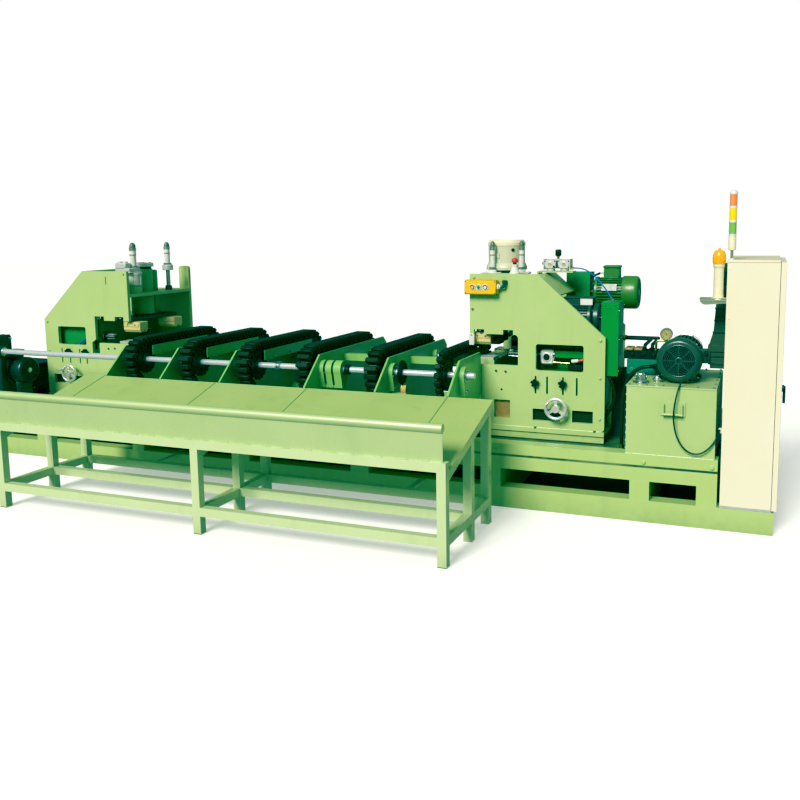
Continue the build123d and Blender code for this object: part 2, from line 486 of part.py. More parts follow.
add("pump_unit", B(-868, -680, 380, 520, 805, 900))                          # manifold
add("pump_unit", B(-888, -680, 395, 505, 900, 950))                          # valves on it
add("pressure_gauge", CY(-640, 412, 448, 1055, 37) + CZ(-700, 430, 950, 1012, 8) + Pos(-700, 430, 1012) * Sphere(8)
    + CX(-700, -640, 430, 1012, 8))
# rigid pipes from the manifold to the bulkhead on the right head
for x, y, y2 in ((-765.0, 420.0, 740.0), (-725.0, 455.0, 786.0)):
    add("pump_unit", CZ(x, y, 950, 983, 11) + Pos(x, y, 983) * Sphere(11) + CY(x, y, y2, 983, 11)
        + Pos(x, y2, 983) * Sphere(11) + CX(-1010, x, y2, 983, 11))
# return hose: port block on the lid, over the tank's left edge, down to a fitting in the deck
add("pump_unit", B(-690, -655, 280, 325, 805, 888))
add("pump_unit", CZ(-880, 310, 332, 352, 17))
HOSE = [(-690, 302, 870), (-745, 302, 870), (-800, 302, 846), (-842, 303, 800), (-864, 304, 738), (-874, 306, 668),
        (-879, 308, 596), (-881, 310, 520), (-880, 310, 436), (-880, 310, 352)]
cord("hydraulic_hose", HOSE, 22.0)

# power lead of the pump motor: gland on its terminal box, past the cowl, down the tank's face, gland by the cabinet
add("pump_unit", CY(-301, 66, 92, 556, 11) + B(-306, -284, 72, 92, 541, 571))
LEAD = [(-395, 240, 970), (-395, 200, 970), (-397, 160, 971), (-398, 120, 969), (-403, 86, 961), (-424, 64, 944),
        (-448, 52, 918), (-474, 40, 887), (-497, 24, 855), (-513, 2, 825), (-524, -24, 789), (-533, -38, 742),
        (-540, -44, 690), (-542, -45, 636), (-536, -41, 582), (-522, -35, 528), (-498, -29, 480), (-464, -24, 446),
        (-424, -22, 432), (-384, -22, 442), (-350, -20, 470), (-324, -14, 505), (-308, 5, 537), (-301, 34, 556),
        (-301, 66, 556)]
cord("power_lead", LEAD, 9.0)

# ---------------------------------------------------------------- control cabinet
cx0, cx1, cy0, cy1, cz0, cz1 = CAB
W = 3.0
add("cabinet_body", B(cx0, cx1, cy0, cy0 + W, cz0, cz1))
add("cabinet_body", B(cx0, cx1, cy1 - W, cy1, cz0, cz1))
add("cabinet_body", B(cx0, cx0 + W, cy0 + W, cy1 - W, cz0, cz1))
add("cabinet_body", B(cx0 + W, cx1, cy0 + W, cy1 - W, cz0, cz0 + W))
add("cabinet_body", B(cx0 + W, cx1, cy0 + W, cy1 - W, cz1 - W, cz1))
add("cabinet_body", B(cx0 + 12, cx0 + 15, 40, 760, 190, 1450))
for z in (260.0, 1380.0):
    for y in (80.0, 720.0):
        add("cabinet_body", CX(cx0 + W, cx0 + 12, y, z, 6))
for z0, y0, y1, h in ((1150, 90, 360, 190), (1180, 420, 700, 150), (760, 90, 700, 120), (440, 90, 700, 120)):
    add("cabinet_body", B(cx0 + 15, cx0 + 110, y0, y1, z0, z0 + h))
door = B(-13, 14, 3, 797, 140, 1506) - B(-14, 11, 8, 792, 146, 1500) + B(-8, 11.5, 40, 80, 790, 850)
door = door - CX(-20, 20, 60, 820, 8.2)
add("cabinet_door", door)
add("door_latch", CX(-6, 24, 60, 820, 8) + CX(14.4, 26, 60, 820, 19) + B(20, 34, 48, 72, 740, 832)
    + B(-12.5, -8.6, 14, 72, 811, 829) + CX(-12.5, 0, 60, 820, 8))
for z in (300.0, 820.0, 1340.0):                                   # hinge knuckles behind the rear edge
    add("cabinet_body", CZ(14, 803.5, z, z + 60, 6) + B(-16.0, 14, 800, 803.5, z, z + 60))
add("signal_tower", CZ(-268, 95, cz1, 1568, 8) + CZ(-268, 95, cz1, 1520, 20) + CZ(-268, 95, 1568, 1645, 20)
    + CZ(-268, 95, 1645, 1880, 21) + CZ(-268, 95, 1880, 1893, 19))
bp = B(-430, cx0, 70, 160, 1290, 1300) + CZ(-333, 112, 1300, 1490, 28)
bp = bp + CZ(-333, 112, 1490, 1500, 36) + CZ(-333, 112, 1500, 1556, 32) + CZ(-333, 112, 1556, 1575, 25)
add("beacon_post", bp)
add("beacon_post", PXZ([(cx0, 1490), (-326, 1490), (-340, 1400), (-352, 1247), (-360, 1100), (-384, 1013), (-384, 985),
                        (-374.5, 985), (-374.5, 880), (cx0, 880)], 270, 330))   # cable duct on the cabinet's side

# ---------------------------------------------------------------- fasteners
for x in (-705.0, -330.0, -1600.0, -2500.0, -3400.0, -4300.0, -5200.0, -6100.0):
    add("bed_side_bars", CY(x, -6, 0, 358, 11))
for s in ("right", "left"):
    ue = 863 if s == "right" else 829
    for u, z in ((30, 1390), (ue, 999), (ue, 760), (ue, 495)):
        x = XR + u if s == "right" else XL - u
        add(s + "_head_plates", CY(x, YH - 6, YH, z, 8))

# ---------------------------------------------------------------- export
for name, solids in NODES.items():
    shape = solids[0] if len(solids) == 1 else Compound(solids)
    export_step(Pos(OX, OY, 0) * shape, "parts/%s.step" % name)
print(len(NODES), "nodes")
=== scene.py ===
import bpy
import bmesh
import math
import random
from itertools import product
from mathutils import Matrix, Vector


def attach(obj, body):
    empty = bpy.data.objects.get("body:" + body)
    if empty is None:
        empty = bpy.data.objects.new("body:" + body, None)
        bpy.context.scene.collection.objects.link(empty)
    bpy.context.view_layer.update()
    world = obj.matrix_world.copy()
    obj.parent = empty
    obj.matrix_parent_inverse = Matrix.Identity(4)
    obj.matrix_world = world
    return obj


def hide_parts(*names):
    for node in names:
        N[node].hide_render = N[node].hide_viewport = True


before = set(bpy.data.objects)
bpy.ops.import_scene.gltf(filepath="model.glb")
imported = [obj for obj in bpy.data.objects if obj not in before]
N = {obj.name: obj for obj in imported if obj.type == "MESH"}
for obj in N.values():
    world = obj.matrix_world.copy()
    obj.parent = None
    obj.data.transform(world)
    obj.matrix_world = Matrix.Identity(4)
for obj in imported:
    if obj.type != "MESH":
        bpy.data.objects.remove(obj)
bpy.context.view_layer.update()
scene = bpy.context.scene
random.seed(7)

# Machine datum in mm: X0 = right end of the bed, Y0 = front of the bed, Z0 = floor.
OX, OY = 3083.0, -224.0
XR, XL = -1903.0, -4710.0


def W(x, y, z):
    return Vector(((x + OX) / 1000.0, (y + OY) / 1000.0, z / 1000.0))


# ------------------------------------------------------------------ camera
def make_camera():
    yaw, pitch, roll = math.radians(21.637), math.radians(7.774), math.radians(-0.7085)
    fwd = Vector((-math.sin(yaw) * math.cos(pitch), math.cos(yaw) * math.cos(pitch), -math.sin(pitch)))
    right = Vector((math.cos(yaw), math.sin(yaw), 0))
    up = right.cross(fwd)
    r2 = right * math.cos(roll) + up * math.sin(roll)
    u2 = -right * math.sin(roll) + up * math.cos(roll)
    cam = bpy.data.cameras.new("camera")
    cam.sensor_width = 36.0
    cam.lens = 39.03
    cam.shift_x, cam.shift_y = -0.0326, -0.0640
    cam.clip_start, cam.clip_end = 0.05, 200
    ob = bpy.data.objects.new("camera", cam)
    m = Matrix.Identity(4)
    for i in range(3):
        m[i][0], m[i][1], m[i][2] = r2[i], u2[i], -fwd[i]
    m.translation = Vector((3.0134, -5.202, 1.6966))
    ob.matrix_world = m
    scene.collection.objects.link(ob)
    scene.camera = ob


make_camera()


# ------------------------------------------------------------------ materials
class G:
    """A small node graph round one Principled shader."""

    def __init__(self, name, **inputs):
        self.m = bpy.data.materials.new(name)
        self.m.use_nodes = True
        self.t = self.m.node_tree
        self.t.nodes.clear()
        out = self.t.nodes.new("ShaderNodeOutputMaterial")
        self.b = self.t.nodes.new("ShaderNodeBsdfPrincipled")
        self.t.links.new(self.b.outputs[0], out.inputs[0])
        self.co = self.t.nodes.new("ShaderNodeTexCoord").outputs["Object"]
        for k, v in inputs.items():
            self.b.inputs[k.replace("_", " ")].default_value = v

    def node(self, kind, **inputs):
        n = self.t.nodes.new(kind)
        for k, v in inputs.items():
            self.put(n.inputs[k.replace("_", " ")], v)
        return n

    def put(self, sock, v):
        if isinstance(v, bpy.types.NodeSocket):
            self.t.links.new(v, sock)
        else:
            sock.default_value = v

    def scaled(self, s):
        n = self.t.nodes.new("ShaderNodeMapping")
        self.put(n.inputs["Vector"], self.co)
        n.inputs["Scale"].default_value = s
        return n.outputs[0]

    def noise(self, scale, detail=3.0, rough=0.55, vec=None, distort=0.0):
        n = self.node("ShaderNodeTexNoise", Scale=scale, Detail=detail, Roughness=rough, Distortion=distort)
        self.put(n.inputs["Vector"], vec or self.co)
        return n.outputs["Fac"]

    def rng(self, v, a, b, c=0.0, d=1.0):
        n = self.node("ShaderNodeMapRange", Value=v)
        for k, x in (("From Min", a), ("From Max", b), ("To Min", c), ("To Max", d)):
            n.inputs[k].default_value = x
        return n.outputs[0]

    def op(self, kind, a, b=None):
        n = self.t.nodes.new("ShaderNodeMath")
        n.operation = kind
        self.put(n.inputs[0], a)
        if b is not None:
            self.put(n.inputs[1], b)
        return n.outputs[0]

    def mix(self, fac, a, b, kind="MIX"):
        n = self.t.nodes.new("ShaderNodeMix")
        n.data_type = "RGBA"
        n.blend_type = kind
        self.put(n.inputs[0], fac)
        self.put(n.inputs[6], a)
        self.put(n.inputs[7], b)
        return n.outputs[2]

    def xyz(self):
        n = self.t.nodes.new("ShaderNodeSeparateXYZ")
        self.put(n.inputs[0], self.co)
        return n.outputs

    def between(self, v, a, b, soft):
        """1 where v lies in a..b, falling to 0 over soft."""
        return self.op("MULTIPLY", self.rng(v, a - soft, a), self.rng(v, b, b + soft, 1.0, 0.0))

    def bump(self, h, strength, dist, normal=None):
        n = self.node("ShaderNodeBump", Height=h, Strength=strength, Distance=dist)
        if normal is not None:
            self.put(n.inputs["Normal"], normal)
        return n.outputs[0]

    def edge(self, radius):
        """1 on convex edges within radius, 0 on flats."""
        bv = self.t.nodes.new("ShaderNodeBevel")
        bv.samples = 3
        bv.inputs["Radius"].default_value = radius
        ge = self.t.nodes.new("ShaderNodeNewGeometry")
        d = self.t.nodes.new("ShaderNodeVectorMath")
        d.operation = "DOT_PRODUCT"
        self.put(d.inputs[0], bv.outputs[0])
        self.put(d.inputs[1], ge.outputs["Normal"])
        return self.rng(d.outputs["Value"], 0.99, 0.80)

    def ao(self, dist):
        n = self.t.nodes.new("ShaderNodeAmbientOcclusion")
        n.samples = 3
        n.inputs["Distance"].default_value = dist
        return n.outputs["AO"]

    def set(self, **kw):
        for k, v in kw.items():
            self.put(self.b.inputs[k.replace("_", " ")], v)
        return self.m


def rgb(r, g, b):
    """sRGB 0-255 to linear."""
    return tuple(((c / 255.0) / 12.92 if c / 255.0 <= 0.04045 else ((c / 255.0 + 0.055) / 1.055) ** 2.4)
                 for c in (r, g, b)) + (1.0,)


# dark colour for dust runs and for painted shade in the corners
DIRT_AND_SHADE = (0.012, 0.028, 0.008, 1.0)


def paint(name, base, deep, chip_and_highlight, rough=0.36, wear_and_highlight=0.5, grime_and_shade=0.6, dirt_and_shade=DIRT_AND_SHADE, coat=0.25, peel=0.05, deck=False, wave=0.07, sheen=0.18):
    """Sprayed machine enamel: cloudy colour, orange peel, painted shade in the corners, rubbed edges that also carry a
    painted highlight.
    """
    g = G(name, Coat_Weight=coat, Coat_Roughness=sheen)
    cloud = g.noise(1.7, 5.0, 0.6)
    col = g.mix(g.rng(cloud, 0.30, 0.72), base, deep)
    fine = g.noise(38.0, 4.0, 0.7)
    col = g.mix(g.rng(fine, 0.40, 0.75, 0.0, 0.22), col, deep)
    # runs of dust down upright faces
    streak = g.noise(9.0, 4.0, 0.6, g.scaled((1.0, 1.0, 0.10)))
    col = g.mix(g.rng(streak, 0.54, 0.80, 0.0, 0.16 * grime_and_shade), col, dirt_and_shade)
    # painted shade: inner corners darkened from the occlusion mask, broken into patches
    corner_shade = g.rng(g.ao(0.12), 0.25, 0.90, 1.0, 0.0)
    spots = g.rng(g.noise(14.0, 5.0, 0.65), 0.35, 0.65, 0.45, 1.0)
    col = g.mix(g.op("MULTIPLY", g.op("MULTIPLY", corner_shade, spots), 0.62 * grime_and_shade), col, dirt_and_shade)
    # darker towards the floor, in noisy patches
    z = g.xyz()
    low = g.rng(z[2], 0.0, 0.16, 1.0, 0.0)
    low = g.op("MULTIPLY", low, g.rng(g.noise(22.0, 5.0, 0.7), 0.38, 0.66, 0.0, 1.0))
    col = g.mix(g.op("MULTIPLY", low, 0.14 * grime_and_shade), col, dirt_and_shade)
    if deck:
        # dark patches on the tray inside the bed: coolant stains and painted shade of the recessed deck
        deck_stain_shade = g.between(z[2], 0.326, 0.336, 0.004)
        deck_stain_shade = g.op("MULTIPLY", deck_stain_shade, g.rng(g.noise(2.6, 6.0, 0.65), 0.28, 0.52, 0.55, 1.0))
        col = g.mix(g.op("MULTIPLY", deck_stain_shade, 0.93), col, (0.010, 0.020, 0.011, 1.0))
    # scuffs, then chipped and rubbed edges, lightened also as a painted highlight along the edges
    scuff = g.rng(g.noise(5.0, 8.0, 0.78, g.scaled((1.0, 1.0, 2.4)), 0.6), 0.66, 0.74)
    col = g.mix(g.op("MULTIPLY", scuff, 0.16 * wear_and_highlight), col, chip_and_highlight)
    e = g.op("MULTIPLY", g.edge(0.006), g.rng(g.noise(46.0, 5.0, 0.75), 0.42, 0.62))
    col = g.mix(g.op("MULTIPLY", e, wear_and_highlight), col, chip_and_highlight)
    r = g.rng(g.noise(11.0, 4.0, 0.6), 0.25, 0.75, rough - 0.07, rough + 0.12)
    r = g.op("ADD", r, g.op("MULTIPLY", corner_shade, 0.18))
    nrm = g.bump(g.noise(420.0, 2.0, 0.5), peel, 0.0015)
    nrm = g.bump(g.noise(7.0, 3.0, 0.5), wave, 0.010, nrm)
    return g.set(Base_Color=col, Roughness=r, Normal=nrm)


def metal(name, base, dark, rough=0.28, brushed=None, metallic=1.0, grime_and_shade=0.4):
    """Bare metal: cloudy tone, brushed or turned lines, painted shade in the corners."""
    g = G(name, Metallic=metallic)
    col = g.mix(g.rng(g.noise(26.0, 5.0, 0.65), 0.35, 0.75), base, dark)
    # painted shade: corners darkened from the occlusion mask, in noisy patches
    corner_shade = g.rng(g.ao(0.03), 0.25, 0.85, 1.0, 0.0)
    spots = g.rng(g.noise(60.0, 5.0, 0.7), 0.35, 0.65, 0.4, 1.0)
    col = g.mix(g.op("MULTIPLY", g.op("MULTIPLY", corner_shade, spots), 0.7 * grime_and_shade), col, (0.020, 0.018, 0.014, 1.0))
    lines = g.noise(240.0, 3.0, 0.6, g.scaled(brushed) if brushed else None)
    r = g.rng(lines, 0.3, 0.7, rough - 0.06, rough + 0.10)
    r = g.op("ADD", r, g.rng(g.noise(9.0, 4.0, 0.6), 0.3, 0.7, -0.04, 0.08))
    nrm = g.bump(lines, 0.05, 0.0008)
    return g.set(Base_Color=col, Roughness=r, Normal=nrm)


def plastic(name, base, deep, rough=0.4, grain=900.0, depth=0.06, grime_and_shade=0.3, dusty=0.14, **kw):
    """Moulded plastic or rubber with a fine texture, a little dust and painted shade in the corners."""
    g = G(name, **kw)
    col = g.mix(g.rng(g.noise(30.0, 4.0, 0.6), 0.35, 0.70), base, deep)
    # painted shade: corners darkened from the occlusion mask
    corner_shade = g.rng(g.ao(0.02), 0.3, 0.9, 1.0, 0.0)
    col = g.mix(g.op("MULTIPLY", corner_shade, 0.5 * grime_and_shade), col, (0.012, 0.012, 0.010, 1.0))
    dust = g.rng(g.noise(70.0, 6.0, 0.75), 0.55, 0.75, 0.0, dusty)
    col = g.mix(dust, col, (0.30, 0.32, 0.26, 1.0))
    r = g.rng(g.noise(45.0, 4.0, 0.6), 0.3, 0.7, rough - 0.05, rough + 0.10)
    return g.set(Base_Color=col, Roughness=r, Normal=g.bump(g.noise(grain, 2.0, 0.5), depth, 0.0008))


def lens(name, base, deep, glow):
    """Tinted lamp cover: fine upright flutes, a little light through it."""
    g = G(name, Roughness=0.22, Coat_Weight=0.4, Subsurface_Weight=0.25, Subsurface_Scale=0.01)
    flute = g.noise(300.0, 1.0, 0.5, g.scaled((1.0, 1.0, 0.03)))
    col = g.mix(g.rng(flute, 0.35, 0.65), base, deep)
    g.b.inputs["Emission Strength"].default_value = glow
    g.put(g.b.inputs["Emission Color"], col)
    return g.set(Base_Color=col, Normal=g.bump(flute, 0.25, 0.001))


GREEN = paint("paint_pale_green", rgb(191, 218, 138), rgb(182, 211, 126), rgb(222, 236, 196), wear_and_highlight=0.45)
GREEN_BED = paint("paint_pale_green_bed", rgb(191, 219, 131), rgb(181, 211, 117), rgb(214, 232, 186), wear_and_highlight=0.5, deck=True)
GREEN_TABLE = paint("paint_pale_green_table", rgb(184, 214, 143), rgb(174, 207, 130), rgb(226, 238, 204), rough=0.28, wear_and_highlight=0.75,
                    grime_and_shade=0.7, coat=0.4, wave=0.16)
GREEN_CHUTE = paint("paint_pale_green_chute", rgb(182, 207, 118), rgb(171, 199, 105), rgb(212, 228, 168), rough=0.32, wear_and_highlight=0.75,
                    grime_and_shade=0.7, coat=0.25, wave=0.16)
GREEN_SHEET = paint("paint_pale_green_sheet", rgb(196, 223, 143), rgb(186, 215, 131), rgb(226, 238, 204), rough=0.26, wear_and_highlight=0.75,
                    grime_and_shade=0.5, coat=1.0, wave=0.16, sheen=0.42)
for n in GREEN_SHEET.node_tree.nodes:
    if n.type == "BSDF_PRINCIPLED":
        # thick glossy coat: a bright line along the rolled edge
        n.inputs["Coat IOR"].default_value = 2.6
GREEN_LEG = paint("paint_pale_green_legs", rgb(218, 238, 180), rgb(208, 230, 166), rgb(236, 244, 216), rough=0.30, wear_and_highlight=0.7, grime_and_shade=0.6)
TEAL = paint("paint_teal", rgb(10, 130, 98), rgb(4, 116, 86), rgb(120, 190, 160), wear_and_highlight=0.5, grime_and_shade=0.5, rough=0.34)
TEAL_EDGE = paint("paint_teal_worn", rgb(96, 148, 122), rgb(78, 132, 108), rgb(170, 196, 176), wear_and_highlight=0.6, grime_and_shade=0.4, rough=0.36)
GREEN_PLATE = paint("paint_conveyor_green", rgb(150, 202, 104), rgb(132, 190, 90), rgb(214, 232, 170), wear_and_highlight=0.8, grime_and_shade=0.9)
# darker copy of the pale green for parts inside the heads and the chute's seams: painted shade
GREEN_SHADE = paint("paint_mid_green_shade", rgb(60, 150, 62), rgb(44, 134, 54), rgb(150, 200, 128), wear_and_highlight=0.4, grime_and_shade=1.0)
GREEN_DEEP = paint("paint_deep_green", rgb(30, 150, 40), rgb(16, 134, 38), rgb(120, 190, 96), wear_and_highlight=0.5, grime_and_shade=0.5, rough=0.32)
GREEN_MOTOR = paint("paint_motor_green", rgb(88, 132, 42), rgb(70, 114, 36), rgb(150, 180, 90), wear_and_highlight=0.6, grime_and_shade=0.8, rough=0.32)
GREEN_DARK = paint("paint_dark_green", rgb(66, 80, 60), rgb(52, 66, 50), rgb(96, 122, 104), wear_and_highlight=0.6, grime_and_shade=0.8, rough=0.30)
GREEN_BLACK = paint("paint_black_green", rgb(20, 44, 30), rgb(12, 32, 24), rgb(70, 96, 70), wear_and_highlight=0.6, grime_and_shade=0.7, rough=0.38)
OLIVE = paint("paint_olive_brown", rgb(74, 78, 44), rgb(56, 62, 36), rgb(120, 120, 84), wear_and_highlight=0.5, grime_and_shade=0.7, rough=0.45)
DRUM = paint("paint_grey_green", rgb(222, 226, 194), rgb(210, 216, 180), rgb(240, 242, 220), wear_and_highlight=0.6, grime_and_shade=0.5)
DOME = paint("paint_grey_olive", rgb(112, 122, 88), rgb(92, 104, 74), rgb(170, 176, 140), wear_and_highlight=0.5, grime_and_shade=0.5, rough=0.34)
CREAM = paint("powder_coat_cream", rgb(250, 244, 216), rgb(246, 238, 204), rgb(255, 252, 240), rough=0.42, wear_and_highlight=0.35, grime_and_shade=0.35,
              dirt_and_shade=(0.30, 0.25, 0.14, 1.0), coat=0.1, peel=0.09)
CHROME = metal("chrome_shaft", (0.82, 0.86, 0.88, 1), (0.70, 0.75, 0.78, 1), 0.16, (1.0, 30.0, 30.0), grime_and_shade=0.3)
SHAFT = metal("bright_shaft", (0.84, 0.90, 0.94, 1), (0.74, 0.81, 0.86, 1), 0.24, (1.0, 30.0, 30.0), metallic=0.5, grime_and_shade=0.25)
WHEEL = metal("polished_wheel", (0.92, 0.94, 0.93, 1), (0.80, 0.83, 0.82, 1), 0.22, metallic=0.55, grime_and_shade=0.35)
STEEL = metal("machined_steel", (0.62, 0.65, 0.64, 1), (0.48, 0.51, 0.50, 1), 0.30)
DARKSTEEL = metal("dark_steel", (0.12, 0.125, 0.095, 1), (0.060, 0.064, 0.044, 1), 0.40)
RAIL = metal("oiled_rail_steel", (0.16, 0.12, 0.075, 1), (0.085, 0.065, 0.040, 1), 0.34)
BLACKOX = metal("black_oxide_steel", (0.021, 0.023, 0.012, 1), (0.011, 0.012, 0.006, 1), 0.42, metallic=0.6)
ALU = metal("cast_aluminium", (0.80, 0.82, 0.80, 1), (0.70, 0.73, 0.71, 1), 0.38, metallic=0.45)
BRASS = metal("brass", (0.72, 0.50, 0.18, 1), (0.56, 0.37, 0.11, 1), 0.28)
BRONZE = metal("bronze_sheet", (0.62, 0.42, 0.12, 1), (0.46, 0.29, 0.08, 1), 0.40, metallic=0.6)
JAW = metal("zinc_plated_jaw", rgb(236, 224, 146), rgb(222, 208, 122), 0.44, metallic=0.25, grime_and_shade=0.6)
RUBBER = plastic("black_rubber", (0.007, 0.008, 0.004, 1), (0.012, 0.013, 0.006, 1), 0.56, 260.0, 0.12, dusty=0.02, Specular_Tint=(1.0, 0.88, 0.48, 1))
BLACKPL = plastic("black_plastic", (0.009, 0.011, 0.005, 1), (0.015, 0.017, 0.008, 1), 0.36, dusty=0.03, Specular_Tint=(1.0, 0.88, 0.48, 1))
LEADPL = plastic("dark_green_lead", (0.006, 0.022, 0.013, 1), (0.010, 0.032, 0.019, 1), 0.40, dusty=0.05)
WHITEPL = plastic("white_plastic", rgb(240, 242, 234), rgb(228, 231, 220), 0.36)
IVORY = plastic("ivory_plastic", rgb(246, 241, 206), rgb(240, 234, 194), 0.36)
YELLOWPL = plastic("yellow_plastic", rgb(253, 206, 0), rgb(247, 190, 0), 0.34, dusty=0.05)
AMBERPL = lens("amber_lens", rgb(255, 188, 0), rgb(248, 164, 0), 0.18)
L_ORANGE = lens("orange_lens", rgb(240, 150, 84), rgb(232, 128, 64), 0.16)
L_YELLOW = lens("yellow_lens", rgb(255, 228, 0), rgb(250, 212, 0), 0.16)
L_GREEN = lens("green_lens", rgb(140, 194, 84), rgb(120, 180, 66), 0.10)
REDPL = plastic("red_plastic", rgb(222, 44, 28), rgb(196, 30, 22), 0.30, dusty=0.04, Coat_Weight=0.3)
GREENPL = plastic("green_plastic", rgb(20, 150, 60), rgb(12, 130, 52), 0.32, dusty=0.04)
BLUEPL = plastic("blue_tube", rgb(20, 106, 190), rgb(12, 88, 172), 0.32, dusty=0.04)
GREYPL = plastic("grey_plastic", rgb(190, 196, 184), rgb(174, 182, 168), 0.44)
TRAYPL = plastic("dark_tray", rgb(142, 158, 130), rgb(122, 140, 112), 0.46)
DIAL = plastic("dial_face", rgb(182, 173, 106), rgb(168, 160, 94), 0.30, dusty=0.04)
# near-black sheets set in openings and under the bed: painted shade
SHADE_BLACK = plastic("painted_shade_black", (0.005, 0.012, 0.003, 1), (0.008, 0.016, 0.004, 1), 0.62, dusty=0.0, Specular_Tint=(1.0, 0.88, 0.4, 1))
GLASSY = plastic("clear_bowl", rgb(242, 247, 238), rgb(230, 239, 228), 0.12, dusty=0.02, Transmission_Weight=0.12, IOR=1.45)

for n in N.values():
    n.data.materials.clear()
    n.data.materials.append(GREEN)
for k, m in {"bed_frame": GREEN_BED, "bed_side_bars": GREEN_BED, "table_frame": GREEN_LEG, "chute_sheet": GREEN_CHUTE,
             "table_front_sheet": GREEN_SHEET, "conveyor_plates": GREEN_PLATE, "cabinet_body": CREAM, "cabinet_door": CREAM,
             "bed_rails": RAIL, "pump_motor_rotor": DARKSTEEL, "door_latch": BLACKPL}.items():
    N[k].data.materials[0] = m
# guards deep green, saddles in the darker copy of the green as painted shade inside the heads, wheels and knobs
for s in ("left", "right"):
    for k, m in {"belt_guard": GREEN_DEEP, "saddle": GREEN_SHADE, "handwheel": WHEEL, "star_knob_a": BLACKPL,
                 "star_knob_b": BLACKPL}.items():
        N[s + "_" + k].data.materials[0] = m


